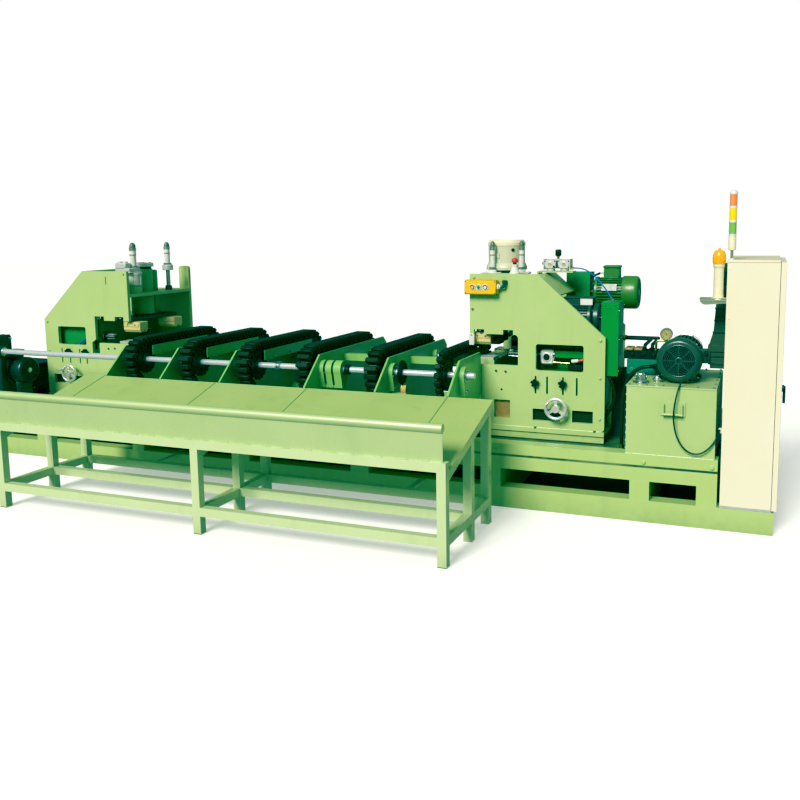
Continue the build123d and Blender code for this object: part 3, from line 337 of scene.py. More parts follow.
# ------------------------------------------------------------------ mesh building, in mm of the datum
class Mesh:
    """One piece, built from chamfered blocks, turned parts, prisms and swept tubes."""

    def __init__(self):
        self.v, self.f, self.k, self.mats = [], [], [], []

    def add(self, mat, verts, faces):
        base = len(self.v)
        self.v += [Vector(p) for p in verts]
        for i, f in enumerate(faces):
            m = mat[i] if isinstance(mat, list) else mat
            if m not in self.mats:
                self.mats.append(m)
            self.f.append([base + j for j in f])
            self.k.append(self.mats.index(m))

    def obox(self, mat, o, ax, ay, az, h, c=1.5):
        """Block round o along three axes, half sizes h, every edge chamfered by c."""
        o, A = Vector(o), (Vector(ax).normalized(), Vector(ay).normalized(), Vector(az).normalized())
        c = min(c, 0.8 * min(h))
        vs, ix = [], {}
        for s in product((-1, 1), repeat=3):
            for k in range(3):
                p = o.copy()
                for j in range(3):
                    p += A[j] * (s[j] * (h[j] if j == k else h[j] - c))
                ix[s + (k,)] = len(vs)
                vs.append(p)
        fs = []
        ring = ((-1, -1), (1, -1), (1, 1), (-1, 1))
        for k, (i, j) in enumerate(((1, 2), (0, 2), (0, 1))):
            for sk in (-1, 1):
                q = []
                for a, b in ring:
                    s = [0, 0, 0]
                    s[k], s[i], s[j] = sk, a, b
                    q.append(ix[tuple(s) + (k,)])
                fs.append(q)
            for a, b in ring:
                lo, hi = [0, 0, 0], [0, 0, 0]
                lo[k], lo[i], lo[j] = -1, a, b
                hi[k], hi[i], hi[j] = 1, a, b
                fs.append([ix[tuple(lo) + (i,)], ix[tuple(hi) + (i,)], ix[tuple(hi) + (j,)], ix[tuple(lo) + (j,)]])
        for s in product((-1, 1), repeat=3):
            fs.append([ix[s + (0,)], ix[s + (1,)], ix[s + (2,)]])
        self.add(mat, vs, fs)

    def box(self, mat, x0, x1, y0, y1, z0, z1, c=1.5):
        self.obox(mat, ((x0 + x1) / 2, (y0 + y1) / 2, (z0 + z1) / 2), (1, 0, 0), (0, 1, 0), (0, 0, 1),
                  (abs(x1 - x0) / 2, abs(y1 - y0) / 2, abs(z1 - z0) / 2), c)

    def lathe(self, mat, o, d, prof, n=32, up=None, closed=False, turn=0.0):
        """Turned part: (t, r) or (t, r, material from here on) along d from o."""
        o, d = Vector(o), Vector(d).normalized()
        a = d.orthogonal() if up is None else Vector(up) - d * Vector(up).dot(d)
        a.normalize()
        b = d.cross(a)
        rings, vs, fs, ms = [], [], [], []
        for p in prof:
            if p[1] < 1e-6:
                rings.append([len(vs)])
                vs.append(o + d * p[0])
            else:
                rings.append(list(range(len(vs), len(vs) + n)))
                for k in range(n):
                    t = 2 * math.pi * (k + turn) / n
                    vs.append(o + d * p[0] + (a * math.cos(t) + b * math.sin(t)) * p[1])
        cur = mat
        last = len(prof) if closed else len(prof) - 1
        for i in range(last):
            if len(prof[i]) > 2:
                cur = prof[i][2]
            p, q = rings[i], rings[(i + 1) % len(prof)]
            for k in range(n):
                l = (k + 1) % n
                if len(p) == 1 and len(q) == 1:
                    continue
                if len(p) == 1:
                    fs.append([p[0], q[k], q[l]])
                elif len(q) == 1:
                    fs.append([p[k], p[l], q[0]])
                else:
                    fs.append([p[k], p[l], q[l], q[k]])
                ms.append(cur)
        if not closed:
            for r, m in ((rings[0], mat), (rings[-1], cur)):
                if len(r) > 1:
                    fs.append(list(r))
                    ms.append(m)
        self.add(ms, vs, fs)

    def rod(self, mat, p, q, r, n=20, c=1.0):
        p, q = Vector(p), Vector(q)
        L = (q - p).length
        c = min(c, r * 0.5, L * 0.3)
        self.lathe(mat, p, q - p, [(0, 0), (0, r - c), (c, r), (L - c, r), (L, r - c), (L, 0)], n)

    def prism(self, mat, pts, axis, a0, a1, c=1.5):
        """Polygon pushed along axis from a0 to a1, its end edges chamfered by c."""
        n = len(pts)
        area = sum(pts[i][0] * pts[(i + 1) % n][1] - pts[(i + 1) % n][0] * pts[i][1] for i in range(n))
        s = 1.0 if area > 0 else -1.0
        inner = []
        for i in range(n):
            p0, p1, p2 = (Vector(pts[j % n]).to_2d() for j in (i - 1, i, i + 1))
            e0, e1 = (p1 - p0).normalized(), (p2 - p1).normalized()
            n0, n1 = Vector((-e0.y, e0.x)) * s, Vector((-e1.y, e1.x)) * s
            m = n0 + n1
            m = m / max(0.35, m.length_squared / 2) if m.length > 1e-6 else n0
            inner.append(p1 + m * c)
        a0, a1 = min(a0, a1), max(a0, a1)
        layers = [(a0, inner), (a0 + c, pts), (a1 - c, pts), (a1, inner)] if c else [(a0, pts), (a1, pts)]
        vs, fs = [], []
        for a, poly in layers:
            for p in poly:
                vs.append({"x": (a, p[0], p[1]), "y": (p[0], a, p[1]), "z": (p[0], p[1], a)}[axis])
        for k in range(len(layers) - 1):
            for i in range(n):
                j = (i + 1) % n
                fs.append([k * n + i, k * n + j, (k + 1) * n + j, (k + 1) * n + i])
        fs.append(list(range(n)))
        fs.append([(len(layers) - 1) * n + i for i in range(n)])
        self.add(mat, vs, fs)

    def sweep(self, mat, pts, r, n=12, closed=False, sub=0, ripple=0.0):
        """Round tube along points; sub smooths the line, ripple swells it like a weld bead."""
        p = [Vector(q) for q in pts]
        if sub:
            out, m = [], len(p)
            for i in range(m if closed else m - 1):
                q = [p[(i + j) % m] if closed else p[min(max(i + j, 0), m - 1)] for j in (-1, 0, 1, 2)]
                for k in range(sub):
                    t = k / sub
                    out.append(0.5 * (2 * q[1] + (q[2] - q[0]) * t + (2 * q[0] - 5 * q[1] + 4 * q[2] - q[3]) * t * t
                                      + (3 * q[1] - q[0] - 3 * q[2] + q[3]) * t ** 3))
            p = out if closed else out + [p[-1]]
        m = len(p)
        tan = []
        for i in range(m):
            a = p[(i - 1) % m] if closed else p[max(i - 1, 0)]
            b = p[(i + 1) % m] if closed else p[min(i + 1, m - 1)]
            tan.append((b - a).normalized())
        u = tan[0].orthogonal().normalized()
        vs, fs = [], []
        for i in range(m):
            u = (u - tan[i] * u.dot(tan[i])).normalized()
            w = tan[i].cross(u)
            rr = r * (1 + ripple * math.sin(i * 2.1))
            for k in range(n):
                t = 2 * math.pi * k / n
                vs.append(p[i] + (u * math.cos(t) + w * math.sin(t)) * rr)
        for i in range(m if closed else m - 1):
            j = (i + 1) % m
            for k in range(n):
                l = (k + 1) % n
                fs.append([i * n + k, i * n + l, j * n + l, j * n + k])
        if not closed:
            fs += [list(range(n)), [(m - 1) * n + k for k in range(n)]]
        self.add(mat, vs, fs)

    def ring(self, mat, o, d, R, r, n=40, m=8):
        o, d = Vector(o), Vector(d).normalized()
        self.lathe(mat, o, d, [(r * math.sin(2 * math.pi * k / m), R + r * math.cos(2 * math.pi * k / m)) for k in range(m)],
                   n, closed=True)

    def band(self, mat, x0, x1, wheels, t):
        """Flat belt of thickness t round wheels (y, z, r) in the plane across X."""
        total, at = loop_path(wheels, 0.0)
        n = max(48, int(total / 9))
        vs, fs = [], []
        for k in range(n):
            y, z, a, b = at(total * k / n)
            for x, o in ((x0, 0), (x1, 0), (x1, t), (x0, t)):
                vs.append((x, y + a * o, z + b * o))
        for k in range(n):
            j = (k + 1) % n
            for i in range(4):
                l = (i + 1) % 4
                fs.append([4 * k + i, 4 * k + l, 4 * j + l, 4 * j + i])
        self.add(mat, vs, fs)

    def bolt(self, mat, p, d, s=17.0, h=11.0, washer=True):
        """Hexagon head across flats s on its washer, standing on p along d."""
        r, t = s / math.sqrt(3), 0.0
        if washer:
            self.lathe(mat, p, d, [(-1, 0), (-1, s * 0.66), (1.6, s * 0.66), (2.2, s * 0.60), (2.2, 0)], 20)
            t = 2.0
        self.lathe(mat, p, d, [(t - 1, 0), (t - 1, r), (h - 0.12 * s, r), (h, r * 0.80), (h, 0)], 6)

    def socket(self, mat, p, d, r=7.0, h=8.0):
        """Socket head screw."""
        self.lathe(mat, p, d, [(-1, 0), (-1, r), (h - 1, r), (h, r - 1), (h, r * 0.55), (h * 0.45, r * 0.5, BLACKOX), (h * 0.45, 0)], 18)

    def bead(self, p, q, mat, r=3.0):
        p, q = Vector(p), Vector(q)
        n = max(4, int((q - p).length / 6))
        self.sweep(mat, [p.lerp(q, i / n) for i in range(n + 1)], r, 8, ripple=0.14)

    def plate(self, o, nrm, up, w, h, mat=None):
        """Blank riveted plate."""
        o, z, y = Vector(o), Vector(nrm).normalized(), Vector(up).normalized()
        x = y.cross(z)
        self.obox(mat or ALU, o + z * 0.6, x, y, z, (w / 2, h / 2, 1.2), 0.5)
        for a, b in product((-1, 1), repeat=2):
            self.lathe(STEEL, o + x * (a * (w / 2 - 5)) + y * (b * (h / 2 - 5)) + z * 1.2, z, [(0, 0), (0, 2.4), (1.2, 1.6), (1.5, 0)], 10)

    def done(self, name, body, *nodes, slot=None):
        bm = bmesh.new()
        vs = [bm.verts.new(W(*p)) for p in self.v]
        for f, k in zip(self.f, self.k):
            fc = bm.faces.new([vs[j] for j in f])
            fc.material_index = k
            fc.smooth = True
        bmesh.ops.recalc_face_normals(bm, faces=bm.faces)
        me = bpy.data.meshes.new(name)
        bm.to_mesh(me)
        bm.free()
        for m in self.mats:
            me.materials.append(m)
        me.set_sharp_from_angle(angle=math.radians(36))
        ob = bpy.data.objects.new(name, me)
        scene.collection.objects.link(ob)
        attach(ob, body)
        if nodes:
            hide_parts(*nodes)
        return ob


def loop_path(wheels, off):
    """Length of a closed loop round wheels (y, z, r), off outside their rims, and a function of length along it
    that gives the point and the outward normal."""
    n, ang, segs = len(wheels), [], []
    for i in range(n):
        (ya, za, ra), (yb, zb, rb) = wheels[i], wheels[(i + 1) % n]
        ang.append(math.atan2(zb - za, yb - ya) - math.acos((ra - rb) / math.hypot(yb - ya, zb - za)))
    for i in range(n):
        y, z, r = wheels[i]
        a0, a1 = ang[i - 1], ang[i]
        while a1 < a0:
            a1 += 2 * math.pi
        segs.append(((r + off) * (a1 - a0), "arc", (y, z, r + off, a0)))
        y2, z2, r2 = wheels[(i + 1) % n]
        c, s = math.cos(ang[i]), math.sin(ang[i])
        p, q = (y + (r + off) * c, z + (r + off) * s), (y2 + (r2 + off) * c, z2 + (r2 + off) * s)
        segs.append((math.hypot(q[0] - p[0], q[1] - p[1]), "run", (p, q, c, s)))
    total = sum(s[0] for s in segs)

    def at(s):
        s %= total
        for L, kind, d in segs:
            if s <= L:
                break
            s -= L
        if kind == "arc":
            a = d[3] + s / d[2]
            return d[0] + d[2] * math.cos(a), d[1] + d[2] * math.sin(a), math.cos(a), math.sin(a)
        t = s / L if L else 0.0
        return d[0][0] + (d[1][0] - d[0][0]) * t, d[0][1] + (d[1][1] - d[0][1]) * t, d[2], d[3]

    return total, at


def circle(n, r, a0=0.0):
    return [(r * math.cos(a0 + 2 * math.pi * k / n), r * math.sin(a0 + 2 * math.pi * k / n)) for k in range(n)]


# ------------------------------------------------------------------ conveyors
CH_X = [-4262.0, -3792.0, -3322.0, -2867.0, -2377.0, -1929.0]
CH_W = [92.0] * 5 + [42.0]
PL_X = [-4376.0, -3912.0, -3433.0, -2793.0, -2298.0, -1821.0]
Y_SH, Y_ID, Z_SH = 30.0, 790.0, 803.0


def chains():
    M = Mesh()
    for i, (cx, w) in enumerate(zip(CH_X, CH_W)):
        shoes = [(150.0, 520.0, 40.0), (740.0, 520.0, 40.0)] if i < 5 else [(110.0, 525.0, 40.0), (240.0, 525.0, 40.0)]
        total, at = loop_path([(Y_ID, Z_SH, 92.0), (Y_SH, Z_SH, 92.0)] + shoes, 16.0)
        n = 2 * round(total / 80)
        pins = [at(total * k / n) for k in range(n)]
        for k in range(n):
            p, q = Vector((cx, pins[k][0], pins[k][1])), Vector((cx, pins[(k + 1) % n][0], pins[(k + 1) % n][1]))
            t = (q - p).normalized()
            out = Vector((0, t.z, -t.y))
            if out.y * pins[k][2] + out.z * pins[k][3] < 0:
                out = -out
            m = (p + q) / 2
            half = (q - p).length / 2
            # tall pad on a thin carrier, side links, roller and pin
            M.obox(RUBBER, m + out * 33.0, (1, 0, 0), t, out, (w / 2 - 1, 17.0, 18.5), 5.0)
            M.obox(BLACKOX, m + out * 12.5, (1, 0, 0), t, out, (w / 2 - 6, 13.0, 2.5), 0.8)
            xo = w / 2 - (11 if k % 2 else 17)
            for sx in (-1, 1):
                M.obox(BLACKOX, m + Vector((sx * xo, 0, 0)), (1, 0, 0), t, out, (2.4, half + 8, 10.0), 1.6)
            M.lathe(DARKSTEEL, p - Vector((w / 2 - 5, 0, 0)), (1, 0, 0),
                    [(0, 0), (0, 5), (14, 5), (14, 10.5), (w - 24, 10.5), (w - 24, 5), (w - 10, 5), (w - 10, 0)], 10)
        # grooved guide under the top run
        for s in (-1, 1):
            M.box(BLACKPL, cx + s * 6, cx + s * (w / 2 - 3), 118, 702, 862, 893, 3)
        M.box(BLACKPL, cx - 8, cx + 8, 120, 700, 859, 884, 2)
    M.done("chain_links", "root", "conveyor_chains", slot="rubber")


def shafts():
    for name, y, r, rh, x0, x1 in (("conveyor_shaft", Y_SH, 20.0, 34.0, -5905.0, -1735.0),
                                   ("conveyor_idler_shaft", Y_ID, 17.5, 26.0, -4430.0, -1912.0)):
        M = Mesh()
        M.lathe(SHAFT, (x0, y, Z_SH), (1, 0, 0), [(0, 0), (0, r - 3), (3, r), (x1 - x0 - 3, r), (x1 - x0, r - 3), (x1 - x0, 0)], 40)
        for cx, w in zip(CH_X, CH_W):
            a, h1 = cx - w / 2, cx + w / 2 - 4
            h0 = a - (58 if w > 50 else 40)
            # bright clamping hub left of the sprocket, with a groove and set screws
            e = a + 6 - h0
            M.lathe(STEEL, (h0, y, Z_SH), (1, 0, 0),
                    [(0, r - 1), (0, rh - 6), (2, rh - 3), (9, rh - 3), (9, rh - 7, DARKSTEEL), (13, rh - 7), (13, rh - 1, STEEL),
                     (15, rh), (e - 16, rh), (e - 16, rh - 5, DARKSTEEL), (e, rh - 5), (e, r - 1)], 32)
            for t in range(2):
                d = (0, math.cos(math.pi * t + 0.6), math.sin(math.pi * t + 0.6))
                M.socket(BLACKOX, (h0 + 22, y + d[1] * (rh - 2), Z_SH + d[2] * (rh - 2)), d, 5.5, 5.0)
            # two toothed discs on a drum
            teeth = []
            for k in range(16):
                for f, rr in ((-0.36, 94.0), (-0.15, 103.0), (0.15, 103.0), (0.36, 94.0)):
                    t = 2 * math.pi * (k + f) / 16
                    teeth.append((y + rr * math.cos(t), Z_SH + rr * math.sin(t)))
            for x in (a + 4, h1 - 10):
                M.prism(BLACKOX, teeth, "x", x, x + 10, 1.2)
            M.lathe(BLACKOX, (a + 14, y, Z_SH), (1, 0, 0), [(0, r - 1), (0, 74), (h1 - a - 24, 74), (h1 - a - 24, r - 1)], 40)
            M.lathe(DARKSTEEL, (h1 - 1, y, Z_SH), (1, 0, 0), [(0, r - 1), (0, 42), (3, 42), (4, 40), (4, r + 4), (4, r - 1)], 32)
            for k in range(6):
                t = 2 * math.pi * (k + 0.5) / 6
                M.bolt(BLACKOX, (h1, y + 60 * math.cos(t), Z_SH + 60 * math.sin(t)), (1, 0, 0), 12.0, 3.9, False)
        if name == "conveyor_shaft":
            for x, mt in ((-3140.0, STEEL), (-2622.0, BLACKOX)):
                M.lathe(mt, (x, y, Z_SH), (1, 0, 0), [(0, 19), (0, 29), (3, 32), (14, 32), (14, 30, DARKSTEEL), (17, 30),
                                                      (17, 32, mt), (31, 32), (34, 29), (34, 19)], 36)
                for sx in (8, 26):
                    M.socket(BLACKOX, (x + sx, y - 22, Z_SH + 22), (0, -1, 1), 5.0, 3.0)
            # index disc with a notched rim
            M.lathe(BLACKOX, (-2226, y, Z_SH), (1, 0, 0), [(0, 19), (0, 74), (2, 77), (10, 77), (12, 74), (12, 62), (9, 60), (9, 38), (12, 36),
                                                           (12, 30), (12, 19)], 56, closed=True)
            for k in range(12):
                t = 2 * math.pi * k / 12
                a = Vector((0, math.cos(t), math.sin(t)))
                M.obox(BLACKOX, Vector((-2220, y, Z_SH)) + a * 75, (1, 0, 0), a, Vector((1, 0, 0)).cross(a), (5.2, 4.0, 9.0), 1.0)
        M.done(name + "_parts", name, name, slot="chrome")


def conveyor_details():
    M = Mesh()
    for i, (cx, w, px) in enumerate(zip(CH_X, CH_W, PL_X)):
        sx, xf = (-1, px - 44) if i < 3 else (1, px + 32)
        for y, r, rr in ((Y_SH, 20.4, 40.0), (Y_ID, 17.9, 34.0)):
            if y == Y_ID and i == 5:
                continue
            # insert bearing with its seal, grease nipple, fixing bolts
            M.lathe(STEEL, (xf - sx, y, Z_SH), (sx, 0, 0), [(0, r), (0, rr), (3, rr), (4, rr - 2), (4, rr - 8, BLACKPL), (3, rr - 9),
                                                          (3, r + 5, STEEL), (6, r + 4), (7, r + 2), (7, r)], 36, closed=True)
            M.lathe(BRASS, (xf - sx * 14, y, Z_SH + (57 if y == Y_SH else 44)), (0, 0, 1), [(0, 0), (0, 4), (4, 4), (4, 2.4), (8, 2.4), (9, 0)], 10)
        if i < 5:
            for t in (0.8, 2.35, 3.93, 5.5):
                M.bolt(STEEL, (px if i < 3 else px - 12, Y_ID + 62 * math.cos(t), Z_SH + 62 * math.sin(t)), (1 if i < 3 else -1, 0, 0), 13, 8)
        for dy, dz in ((-18, -100), (18, -100), (-44, -22), (44, -22)):
            M.bolt(STEEL, (xf, Y_SH + dy, Z_SH + dz), (sx, 0, 0), 13, 9)
        # raised rib along the plate's face, weld at the foot, bolts through the plate
        face = px if i < 3 else px
        for y, z in ((-110, 640), (-130, 690), (60, 440), (330, 440), (600, 440)):
            if i == 5 and y > 200:
                continue
            M.bolt(STEEL, (face, y, z), (1, 0, 0), 13, 8)
        y1 = 720 if i < 5 else 258
        M.bead((face + 1, 22, 403), (face + 1, y1 - 6, 403), GREEN_PLATE, 4.0)
        M.bead((face - 13, 22, 403), (face - 13, y1 - 6, 403), GREEN_PLATE, 4.0)
        # nuts of the spacers on the slim rail
        yr = (200.0, 420.0, 640.0) if i < 5 else (150.0, 330.0)
        a, b = cx - w / 2, cx + w / 2
        for y in yr:
            M.bolt(STEEL, (b + 14 if i < 3 else a - 14, y, 848), (1 if i < 3 else -1, 0, 0), 13, 9)
    # bronze stop under the index disc, on a bracket off the fifth plate
    M.box(GREEN_PLATE, -2299, -2190, 12, 48, 660, 672, 2)
    M.prism(BRONZE, [(14, 671), (46, 671), (46, 700), (38, 722), (22, 722), (14, 700)], "x", -2229, -2193, 2)
    M.done("conveyor_fixings", "root", slot="steel")


def gear_motor():
    M = Mesh()
    # gearbox: ribbed casing in two halves, output flange, base, outer bearing
    M.box(GREEN_BLACK, -5868, -5822, -33, 288, 532, 903, 14)
    M.box(GREEN_BLACK, -5818, -5772, -33, 288, 532, 903, 14)
    M.box(GREEN_BLACK, -5824, -5816, -26, 281, 539, 896, 3)
    for k in range(7):
        M.box(GREEN_BLACK, -5870, -5770, -20 + 46 * k, -12 + 46 * k, 545, 890, 2)
    for y, z in ((-12, 560), (262, 560), (-12, 872), (262, 872), (262, 715)):
        M.bolt(STEEL, (-5772, y, z), (1, 0, 0), 19, 12)
        M.bolt(STEEL, (-5868, y, z), (-1, 0, 0), 19, 12)
    for sx, x in ((1, -5772), (-1, -5868)):
        M.lathe(GREEN_BLACK, (x, Y_SH, Z_SH), (sx, 0, 0), [(-2, 21), (-2, 84), (6, 84), (8, 80), (8, 46), (16, 44), (18, 40), (18, 22),
                                                          (18, 21)], 40, closed=True)
    M.lathe(BRASS, (-5820, 200, 902), (0, 0, 1), [(0, 0), (0, 12), (6, 12), (7, 8), (12, 8), (13, 0)], 6)
    motor(M, GREEN_BLACK, (-5775, 175, 640), (1, 0, 0), 287.0, 105.0, (0, 0, 1), skip=((0, 0, -1),))
    M.box(GREEN_BLACK, -5690, -5590, 125, 225, 735, 790, 6)
    M.box(GREEN_BLACK, -5694, -5586, 121, 229, 788, 797, 3)
    M.box(GREEN_BLACK, -5750, -5520, 105, 245, 332, 346, 3)
    for x in (-5730, -5560):
        M.prism(GREEN_BLACK, [(110, 344), (240, 344), (232, 550), (118, 550)], "x", x, x + 22, 2)
    M.box(GREEN_BLACK, -5855, -5785, 0, 95, 402, 534, 4)
    M.box(GREEN_BLACK, -5640, -5600, 0, 60, 402, 768, 4)
    M.prism(GREEN_BLACK, [(-20, 766), (80, 766), (80, 790), (66, 826), (46, 844), (14, 844), (-6, 826), (-20, 790)], "x", -5650, -5590, 5)
    M.lathe(STEEL, (-5590, Y_SH, Z_SH), (1, 0, 0), [(-1, 20.4), (-1, 34), (3, 34), (4, 26), (7, 25), (7, 20.4)], 32, closed=True)
    for y in (-8, 68):
        M.bolt(STEEL, (-5620, y, 790), (0, 0, 1), 17, 12)
    # drive housing left of the left head: lid, front panel, copper strip, ribs, feet
    M.box(GREEN_BLACK, -6149, -5776, 453, 799, 395, 616, 6)
    M.box(BLACKOX, -6150, -5775, 450, 800, 612, 625, 3)
    M.box(GREEN_DARK, -6144, -5781, 450.5, 456, 452, 576, 2)
    M.box(BRONZE, -6144, -5781, 450.5, 458, 590, 602, 2)
    for k in range(8):
        M.box(GREEN_DARK, -6130 + 46 * k, -6124 + 46 * k, 450.5, 460, 405, 446, 1.5)
    for y0, y1 in ((450, 512), (610, 800)):
        M.box(GREEN_BLACK, -6150, -5775, y0, y1, 332, 397, 4)
    for y, z in product((480, 770), (430, 590)):
        M.bolt(STEEL, (-5776, y, z), (1, 0, 0), 15, 9)
    for k in range(6):
        M.box(GREEN_DARK, -5777, -5773.5, 520, 730, 440 + 24 * k, 452 + 24 * k, 1.2)
    M.done("drive_gear_motor", "root", "conveyor_gear_motor", slot="dark_green")


def motor(M, mat, o, d, L, R, up, skip=(), fins=30, plate=None):
    """Finned motor from its drive end at o along d, with a grilled fan cowl at the far end."""
    o, d, up = Vector(o), Vector(d).normalized(), Vector(up).normalized()
    side = d.cross(up)
    M.lathe(mat, o, d, [(0, 0), (0, 0.33 * R), (0.02 * L, 0.37 * R), (0.025 * L, 0.60 * R), (0.05 * L, 0.86 * R), (0.075 * L, 0.93 * R),
                        (0.12 * L, 0.93 * R), (0.12 * L, 0.84 * R), (0.66 * L, 0.84 * R), (0.66 * L, 0.965 * R), (0.68 * L, 0.985 * R),
                        (0.93 * L, 0.985 * R), (0.965 * L, 0.96 * R), (0.985 * L, 0.915 * R), (L, 0.85 * R), (L, 0.80 * R),
                        (0.975 * L, 0.79 * R, BLACKPL), (0.975 * L, 0)], 56)
    for k in range(fins):
        t = 2 * math.pi * (k + 0.5) / fins
        rad = up * math.cos(t) + side * math.sin(t)
        if any(rad.dot(Vector(s)) > 0.93 for s in skip):
            continue
        M.obox(mat, o + d * (0.39 * L) + rad * (0.905 * R), d, rad, d.cross(rad), (0.266 * L, 0.075 * R, 0.016 * R), 0.7)
    for k, f in enumerate((0.24, 0.38, 0.52, 0.66)):
        M.ring(mat, o + d * (0.992 * L), d, f * R, 2.1, 40, 6)
    for k in range(6):
        t = math.pi * k / 3
        rad = up * math.cos(t) + side * math.sin(t)
        M.obox(mat, o + d * (0.989 * L) + rad * (0.50 * R), d, rad, d.cross(rad), (2.0, 0.33 * R, 2.4), 0.6)
    M.lathe(STEEL, o + d * (0.972 * L), d, [(0, 0), (0, 0.19 * R), (0.022 * L, 0.19 * R), (0.028 * L, 0.15 * R), (0.028 * L, 0)], 24)
    for k in range(4):
        t = math.pi * (k + 0.5) / 2
        rad = up * math.cos(t) + side * math.sin(t)
        M.bolt(STEEL, o + d * (0.035 * L) + rad * (0.70 * R), -d, 0.11 * R, 0.07 * R, False)
        M.lathe(STEEL, o + d * (0.72 * L) + rad * (0.975 * R), rad, [(0, 0), (0, 4), (2.4, 3), (3, 0)], 10)
    if plate is not None:
        n = Vector(plate).normalized()
        M.plate(o + d * (0.40 * L) + n * (0.975 * R), n, n.cross(d), 0.88 * R, 0.42 * R, GREYPL)


chains()
shafts()
conveyor_details()
gear_motor()


# ------------------------------------------------------------------ heads
def pulley(M, o, d, R, w, mat, bore=13.0):
    """Two-groove V pulley of width w."""
    p = [(0, bore), (0, R - 3), (2, R)]
    for c in (0.28 * w, 0.72 * w):
        p += [(c - 7.0, R), (c - 4.0, R - 11), (c + 4.0, R - 11), (c + 7.0, R)]
    p += [(w - 2, R), (w, R - 3), (w, R * 0.72), (w - 8, R * 0.68), (w - 8, R * 0.46), (w, R * 0.42), (w, bore)]
    M.lathe(mat, o, d, p, 48, closed=True)
    for k in range(3):
        t = 2 * math.pi * k / 3
        a = Vector((0, math.cos(t), math.sin(t)))
        M.socket(BLACKOX, Vector(o) + Vector(d) * (w - 8) + a * (R * 0.57), d, 4.5, 5.0)


